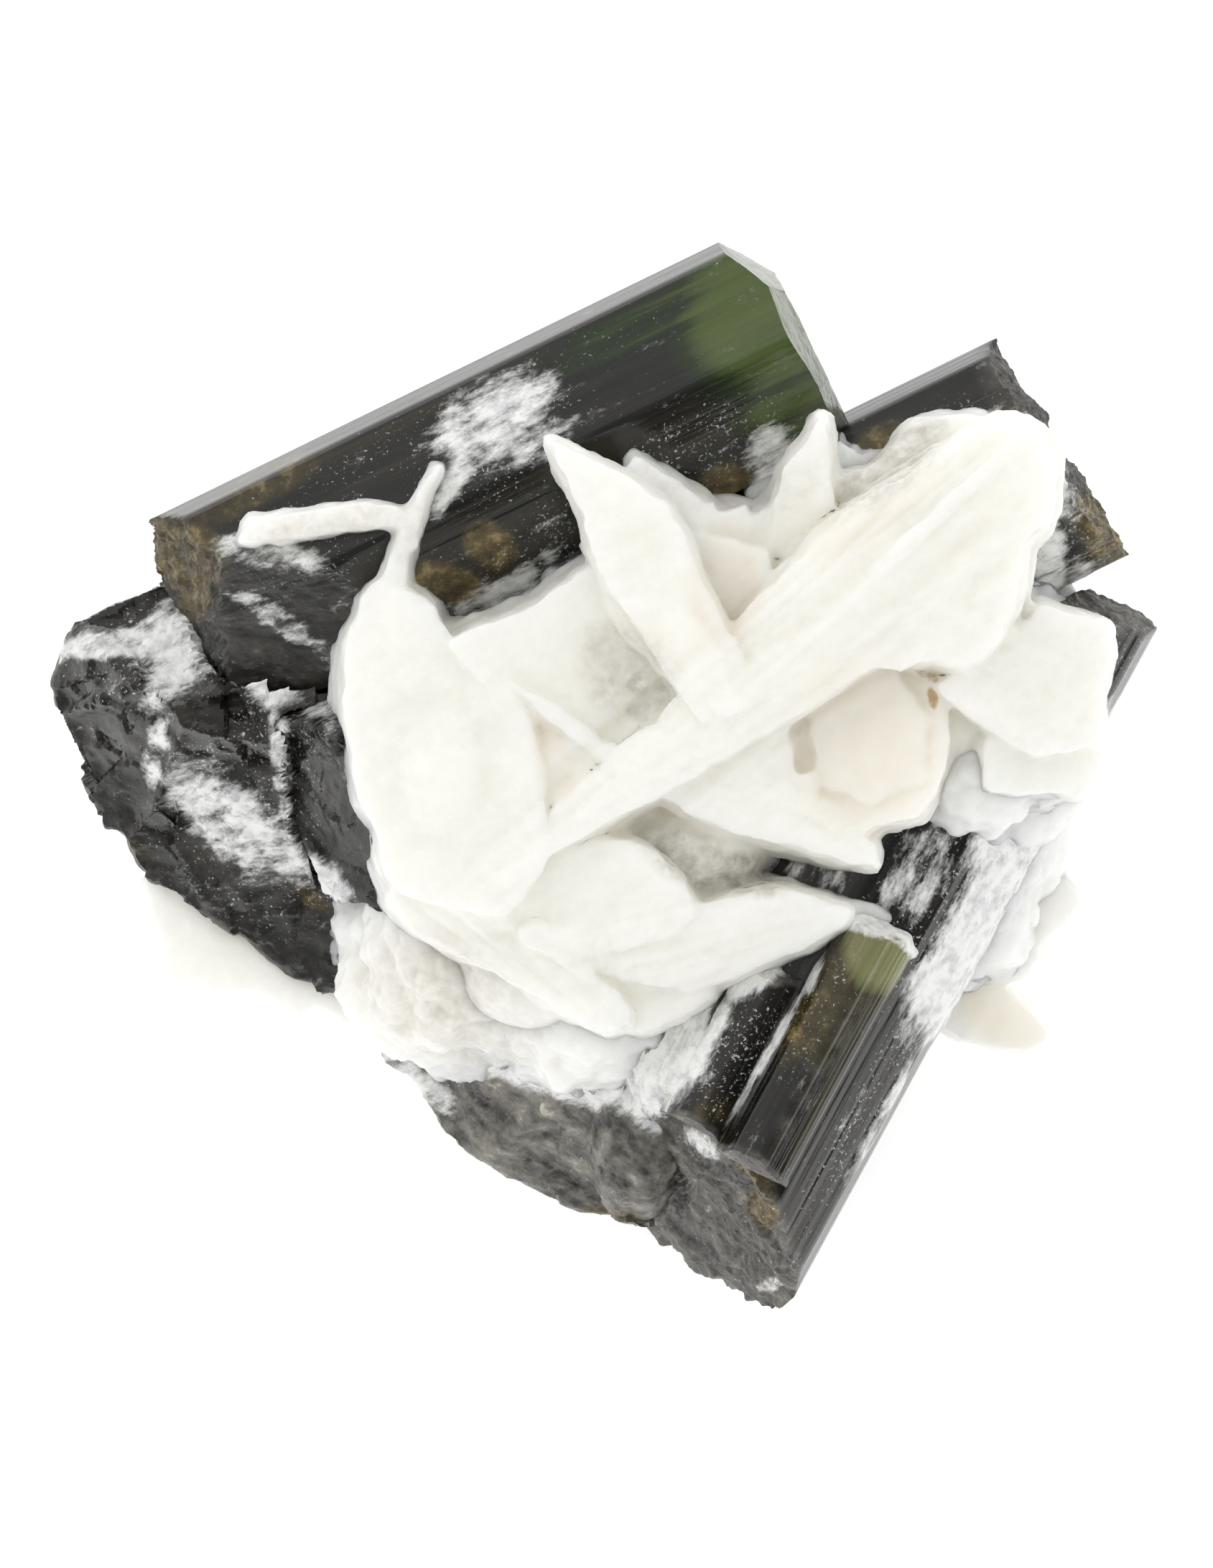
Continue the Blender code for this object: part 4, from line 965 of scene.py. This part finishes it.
# %% The outlines from above
# Each plate: outline, height of its upper face over the middle, dip, the way it dips, thickness.
BLADES = {
    "left_plate": (
        [(-8.9, 8.2), (-9.8, 7.4), (-9.7, 6.9), (-10.3, 5.8), (-10.4, 3.0), (-10.0, 1.0), (-9.7, -0.8),
         (-9.0, -1.6), (-9.0, -3.0), (-8.3, -4.3), (-6.2, -5.0), (-4.0, -5.4), (-2.3, -3.4), (-2.3, -1.3),
         (-2.4, 1.2), (-3.0, 2.7), (-4.0, 4.9), (-5.1, 6.3), (-6.0, 5.5), (-6.7, 5.4), (-6.9, 7.4),
         (-7.9, 7.8)],
        17.3, 15, 200, 4.4),
    "pit_slope": (
        [(-6.4, 5.5), (-5.0, 6.3), (-3.8, 6.7), (-2.7, 7.2), (-1.2, 8.3), (-0.5, 8.8), (0.2, 7.4),
         (2.4, 5.6), (3.4, 3.4), (2.4, 1.2), (0.0, 0.8), (-2.4, 2.2), (-4.2, 3.4)],
        17.5, 14, 330, 4.8),
    "north_leaf": (
        [(-2.3, 13.8), (-1.2, 13.2), (0.2, 12.5), (1.4, 11.9), (2.6, 11.0), (3.1, 10.0), (4.0, 7.8),
         (5.0, 5.9), (6.1, 3.3), (3.9, 2.4), (2.6, 4.2), (1.4, 6.2), (0.1, 7.7), (-0.6, 9.2), (-0.8, 10.7),
         (-1.9, 12.6)],
        20.0, 5, 290, 3.4),
    "nub": (
        [(-0.6, 8.7), (0.4, 8.7), (0.9, 8.1), (0.8, 7.4), (0.2, 7.2), (-0.4, 7.8)],
        18.0, 25, 250, 3.0),
    "cross_blade": (
        [(-4.0, 4.2), (-2.4, 3.5), (-0.9, 2.5), (0.3, 1.5), (1.8, 0.7), (4.0, 0.1), (7.0, -0.6),
         (10.0, -1.8), (11.0, -3.0), (10.6, -3.4), (7.0, -2.4), (5.0, -2.0), (3.4, -1.3), (2.2, -0.6),
         (0.8, 0.2), (-0.4, 1.0), (-1.3, 1.9), (-2.6, 2.8)],
        17.4, 9, 325, 6.0),
    "fan_front": (
        [(-3.9, -3.4), (0.5, -0.1), (5.0, 3.2), (9.0, 6.8), (13.0, 10.6), (16.7, 14.3), (17.7, 12.9),
         (17.5, 10.4), (16.6, 9.4), (16.5, 7.7), (15.6, 5.4), (14.3, 4.5), (12.9, 4.8), (11.2, 4.95),
         (9.5, 3.9), (7.4, 2.5), (5.0, 1.1), (2.3, -0.5), (-0.3, -1.8), (-2.3, -3.0), (-4.2, -4.4)],
        19.2, 14, 282, 4.6),
    "fan_back": (
        [(-3.6, -2.9), (-1.2, -0.1), (1.0, 1.4), (3.4, 3.7), (4.9, 5.6), (6.3, 7.6), (8.3, 9.8),
         (10.0, 11.0), (12.5, 12.5), (15.4, 14.3), (17.1, 14.2), (13.0, 10.2), (9.0, 6.4), (5.0, 2.8),
         (0.5, -0.5)],
        19.1, 19, 148, 4.6),
    "under_fan": (
        [(1.6, -0.2), (3.4, -1.2), (6.0, -2.2), (8.6, -2.9), (10.9, -3.4), (10.9, -2.4), (9.6, -1.8),
         (8.2, -1.3), (7.6, 0.2), (7.3, 2.6), (5.0, 2.0)],
        16.9, 10, 320, 4.4),
    "leaf_side": (
        [(-0.4, 8.6), (0.0, 8.3), (1.8, 6.7), (3.1, 5.1), (4.0, 3.4), (2.8, 3.8), (1.2, 5.4), (0.0, 6.9)],
        18.4, 24, 215, 3.4),
    "beige_top": (
        [(8.1, 2.6), (9.5, 4.5), (11.4, 4.8), (12.9, 2.6), (12.7, 0.2), (10.6, -0.9), (8.3, 0.0)],
        16.8, 9, 150, 1.2),
    "fan_crust": (
        [(9.2, 12.1), (9.2, 9.6), (10.6, 10.0), (12.9, 12.0), (15.6, 13.8), (15.2, 14.6), (13.7, 14.6),
         (12.2, 14.4), (11.2, 13.1), (10.3, 12.4)],
        15.6, 12, 120, 3.0),
    "tooth": (
        [(8.1, 13.8), (8.5, 14.7), (8.85, 14.4), (9.05, 12.3), (9.1, 10.2), (8.7, 9.0), (6.5, 9.0),
         (6.6, 11.0), (7.2, 12.7)],
        17.0, 24, 262, 3.4),
    "sliver": (
        [(1.0, 12.0), (1.0, 13.1), (1.5, 13.05), (2.7, 12.2), (3.9, 11.4), (4.4, 10.9), (5.8, 10.6),
         (6.6, 11.2), (6.7, 9.2), (5.5, 9.3), (3.2, 9.9), (2.2, 11.0)],
        16.4, 14, 300, 2.6),
    "window_plate": (
        [(2.9, 10.2), (5.8, 9.5), (6.5, 9.4), (6.6, 7.8), (6.4, 6.6), (5.6, 5.0), (4.6, 5.2), (3.6, 7.6)],
        16.6, 8, 200, 3.2),
    "beige_plate": (
        [(6.8, 2.4), (9.5, 4.1), (11.2, 5.0), (12.9, 4.9), (13.3, 3.7), (13.7, 2.9), (13.7, 1.0),
         (13.3, 0.0), (12.6, -1.4), (11.0, -1.7), (10.0, -2.1), (8.2, -1.4), (7.0, -0.6), (6.8, 1.0)],
        16.3, 9, 150, 3.6),
    "right_plate": (
        [(13.0, 3.9), (14.5, 4.7), (16.3, 5.7), (17.2, 7.2), (18.9, 6.7), (20.1, 6.4), (20.2, 5.2),
         (19.8, 4.0), (19.7, 2.7), (19.9, 1.5), (17.0, 1.0), (15.4, 2.0), (13.6, 3.3)],
        16.4, 21, 350, 3.6),
    "right_step": (
        [(15.3, 2.2), (17.0, 1.2), (19.7, 1.1), (19.7, 0.2), (18.9, -0.6), (17.5, -0.3), (16.0, -0.5),
         (15.0, -0.3), (14.9, 1.4)],
        14.9, 22, 330, 2.6),
    "south_round": (
        [(-0.4, -2.2), (1.1, -2.1), (2.2, -2.8), (3.1, -3.7), (3.6, -4.5), (3.8, -5.2), (2.4, -6.2),
         (0.0, -6.6), (-2.6, -6.0), (-3.8, -4.6), (-2.6, -3.1)],
        16.7, 16, 250, 4.8),
    "south_band": (
        [(3.4, -4.9), (4.3, -4.7), (5.5, -4.3), (6.9, -4.0), (8.5, -4.5), (10.0, -4.9), (9.6, -5.7),
         (8.2, -6.6), (7.0, -7.0), (5.5, -7.7), (3.5, -8.3), (1.2, -7.9), (-1.0, -7.2), (-3.4, -6.4),
         (-3.2, -5.4), (0.0, -6.0), (2.4, -5.6)],
        15.9, 20, 285, 4.6),
    "south_rim": (
        [(-5.2, -5.6), (-3.6, -5.7), (-1.2, -6.6), (1.5, -7.5), (4.0, -7.9), (4.6, -8.4), (3.2, -9.3),
         (1.5, -10.0), (0.0, -9.7), (-1.6, -8.9), (-3.2, -7.8), (-4.8, -6.9)],
        14.6, 18, 262, 4.2),
    "south_arm": (
        [(-8.8, -4.4), (-6.4, -4.7), (-4.0, -5.0), (-2.0, -6.2), (0.6, -8.2), (1.4, -9.4), (0.4, -10.0),
         (-1.6, -9.2), (-3.6, -7.9), (-5.6, -6.9), (-7.6, -5.8)],
        15.4, 22, 235, 4.4),
    "tip_collar": (
        [(6.4, -4.5), (8.4, -4.3), (10.4, -4.6), (11.6, -5.2), (11.4, -5.6), (10.4, -5.4), (8.8, -5.3)],
        13.9, 22, 330, 4.0),
    "long_strip": (
        [(-14.6, 9.5), (-14.1, 10.5), (-11.6, 10.9), (-9.2, 11.2), (-7.6, 10.8), (-7.9, 10.2),
         (-10.5, 10.0), (-12.8, 9.55)],
        16.8, 5, 200, 1.6),
    "strip_stem": (
        [(-9.0, 7.9), (-8.6, 8.8), (-8.1, 10.2), (-7.5, 11.4), (-6.7, 12.7), (-6.3, 12.6), (-6.9, 11.2),
         (-7.4, 9.8), (-7.7, 8.8), (-7.8, 7.4)],
        17.2, 4, 200, 3.4),
    "back_blade_left": (
        [(-18.7, -3.8), (-18.2, -5.6), (-17.5, -8.1), (-14.0, -8.1), (-11.6, -8.8), (-9.4, -10.3),
         (-7.0, -8.0), (-8.0, -4.5), (-13.0, -2.5)],
        3.6, 10, 220, 1.5),
    "back_blade_right": (
        [(11.5, -6.5), (15.0, -8.1), (17.1, -7.7), (17.7, -6.2), (19.4, -4.9), (18.7, -3.9), (17.6, -2.6),
         (14.0, 0.5)],
        5.2, 14, 20, 1.6),
    "back_blade_tip": (
        [(12.0, -7.8), (13.7, -10.1), (15.5, -10.6), (17.0, -10.85), (18.0, -10.3), (17.7, -9.6),
         (16.9, -8.7), (15.6, -7.8), (13.5, -6.0)],
        4.2, 12, 320, 1.7),
}
print(len(BLADES), "blades are outlined")

# %% Blade maker
FLARE = 0.13  # how much wider a blade grows for each millimetre down
JAG = 0.13  # how ragged its edge is
TRIM = 0.08  # how far it is drawn in from the outline
SHEET = (0.25, 0.7)  # the thinnest and the thickest sheet, in millimetres
RIM_POINTS, RIM_CORNER = 96, 0.18


def blade(outline, height, dip, toward, thickness, seed, terraces=4):
    """One plate of thin sheets, with low terraces on its upper face, as a list of closed lofts."""
    pick = random.Random(seed)
    rim = rounded(outline, RIM_POINTS, RIM_CORNER)
    middle = rim.mean(axis=0)
    way = math.radians(toward)
    tilt = np.array([math.cos(way), math.sin(way)]) * math.tan(math.radians(dip))

    def stack(edge, sheets):
        """Rings of the edge: each sheet is (size of the ring, how far down it lies)."""
        centre = edge.mean(axis=0)
        ahead = np.roll(edge, -1, 0) - np.roll(edge, 1, 0)
        outward = np.column_stack([ahead[:, 1], -ahead[:, 0]]) / np.linalg.norm(ahead, axis=1)[:, None]
        if ((edge - centre) * outward).sum() < 0:
            outward = -outward
        rings = []
        for size, drop in sheets:
            jag = JAG * rough(np.column_stack([edge, np.full(len(edge), height - drop)]), 0.8, 3, 6.0)
            ring = centre + (edge - centre) * size + outward * (FLARE * max(drop, 0) - TRIM + jag)[:, None]
            rings.append(np.column_stack([ring, height - (ring - middle) @ tilt - drop]))
        return loft(np.array(rings), "sheets")

    sheets, level = [(0.985, 0.0), (1.0, 0.10)], 0.1
    while level < thickness:
        step, size = pick.uniform(*SHEET), 1 + pick.uniform(-0.035, 0.012)
        sheets += [(size, level + 0.05), (size, level + step)]
        level += step
    made = [stack(rim, sheets)]
    for _ in range(terraces):
        corner = rim[pick.randrange(len(rim))]
        size = pick.uniform(0.3, 0.92)
        rise = pick.uniform(0.08, 0.2) * (1.4 - size)
        made.append(stack(corner + (rim - corner) * size, [(0.99, -rise), (1.0, 0.05 - rise), (1.0, 0.6)]))
    return made


print("a blade widens by", FLARE, "mm for each millimetre down")


# %% Fine ridges
def furrows(points, x, y, half_length, half_width, turn, pitch, depth):
    """Low ridges that run along the turn, inside an ellipse: how far each point rises."""
    angle = math.radians(turn)
    along = (points[:, 0] - x) * math.cos(angle) + (points[:, 1] - y) * math.sin(angle)
    across = (points[:, 1] - y) * math.cos(angle) - (points[:, 0] - x) * math.sin(angle)
    lines = np.column_stack([along / 14, across, np.full(len(points), x + y)])
    saw = 0.5 - np.abs(rough(lines, pitch, 2, 2.0))
    return depth * saw * spots(points, [(x, y, half_length, half_width, turn)])


print("ridges rise by noise, along each blade")

# %% [markdown]
# The groups below are what grew together. Fillers are lumps between the blades, which fuse with them
# in the remesh: (centre, radii). Ridges are the fine lines along a blade, each over an ellipse:
# (x, y, half length, half width, turn, spacing, height).

# %% Groups of blades
GROUPS = {
    "rosette": {
        "blades": ["left_plate", "long_strip", "strip_stem", "pit_slope", "cross_blade", "north_leaf",
                   "nub", "leaf_side", "window_plate", "sliver", "tooth", "fan_front", "fan_back",
                   "fan_crust", "under_fan", "beige_plate", "beige_top", "right_plate", "right_step",
                   "south_round", "south_band", "south_rim", "south_arm", "tip_collar"],
        "fillers": [((-5.8, 1.0, 13.2), (3.6, 5.6, 4.9)), ((-1.6, 0.6, 13.6), (3.8, 3.8, 4.2)),
                    ((1.2, 5.0, 12.8), (3.4, 3.4, 3.4)), ((-4.0, -3.6, 12.8), (4.4, 3.4, 4.2)),
                    ((0.4, -6.4, 11.4), (4.8, 3.2, 4.2)), ((4.6, 8.4, 12.0), (3.4, 3.2, 3.8)),
                    ((-3.2, 4.6, 14.0), (2.8, 2.2, 3.8)), ((5.0, -5.8, 11.2), (4.4, 1.6, 3.4)),
                    ((3.2, -2.6, 12.0), (3.4, 2.2, 3.6)), ((8.4, 10.4, 12.4), (2.6, 2.2, 3.4)),
                    ((-2.4, -7.4, 11.0), (3.4, 2.4, 3.6)), ((11.0, 9.4, 12.6), (5.0, 3.4, 3.6)),
                    ((14.6, 5.4, 12.4), (3.0, 3.0, 3.6)), ((13.2, 3.2, 12.4), (3.0, 3.6, 3.0)),
                    ((16.2, 0.8, 11.0), (3.2, 2.2, 2.8))],
        "ridges": [(1.6, 9.0, 6.5, 2.4, -56, 0.8, 0.22), (5.0, -5.4, 7.0, 1.8, 14, 0.6, 0.22),
                   (-3.2, -7.2, 6.0, 1.8, -38, 0.5, 0.3), (-7.0, 2.0, 3.4, 7.0, -10, 1.6, 0.12),
                   (3.0, 0.6, 9.0, 1.6, -24, 0.6, 0.2), (7.6, 11.6, 2.6, 1.4, 80, 0.5, 0.15),
                   (0.6, -9.6, 3.6, 1.6, -80, 0.35, 0.3), (6.4, 6.6, 15.0, 2.2, 41, 0.9, 0.35),
                   (9.4, 6.0, 14.0, 3.4, 39, 1.2, 0.3), (12.0, 11.2, 4.0, 1.6, 38, 0.4, 0.3),
                   (17.0, 4.0, 4.6, 3.0, -30, 0.7, 0.25)],
        "polish": 3,
    },
    "back_blades": {
        "blades": ["back_blade_left", "back_blade_right", "back_blade_tip"],
        "fillers": [],
        "ridges": [],
        "polish": 4,
    },
}
print({group: len(plan["blades"]) for group, plan in GROUPS.items()})

# %% Build the rosette and the blades behind it
BLADE_CELL = 0.16  # finer cells would take the rosette past 200,000 triangles
for number, (group, plan) in enumerate(GROUPS.items()):
    stack = bmesh.new()
    for step, name in enumerate(plan["blades"]):
        for sheet in blade(*BLADES[name], seed=100 * number + step):
            stack.from_mesh(sheet)
    add_lumps(stack, plan["fillers"])
    group_mesh = carved(remeshed(mesh_of(stack, group), BLADE_CELL, plan["polish"]))
    surface, out = positions(group_mesh), directions(group_mesh)
    wave = 0.08 * rough(surface, 2.6, 2, 4.0 + number) + 0.07 * rough(surface, 0.8, 4, 9.0 + number)
    wave += sum(furrows(surface, *ridge) for ridge in plan["ridges"]) * np.clip(out[:, 2] * 2, 0, 1)
    put_back(group_mesh, surface + out * wave[:, None])
    tint_albite(group_mesh)
    finish_piece(group_mesh, group, "albite_cluster", pearly, sharp=60)
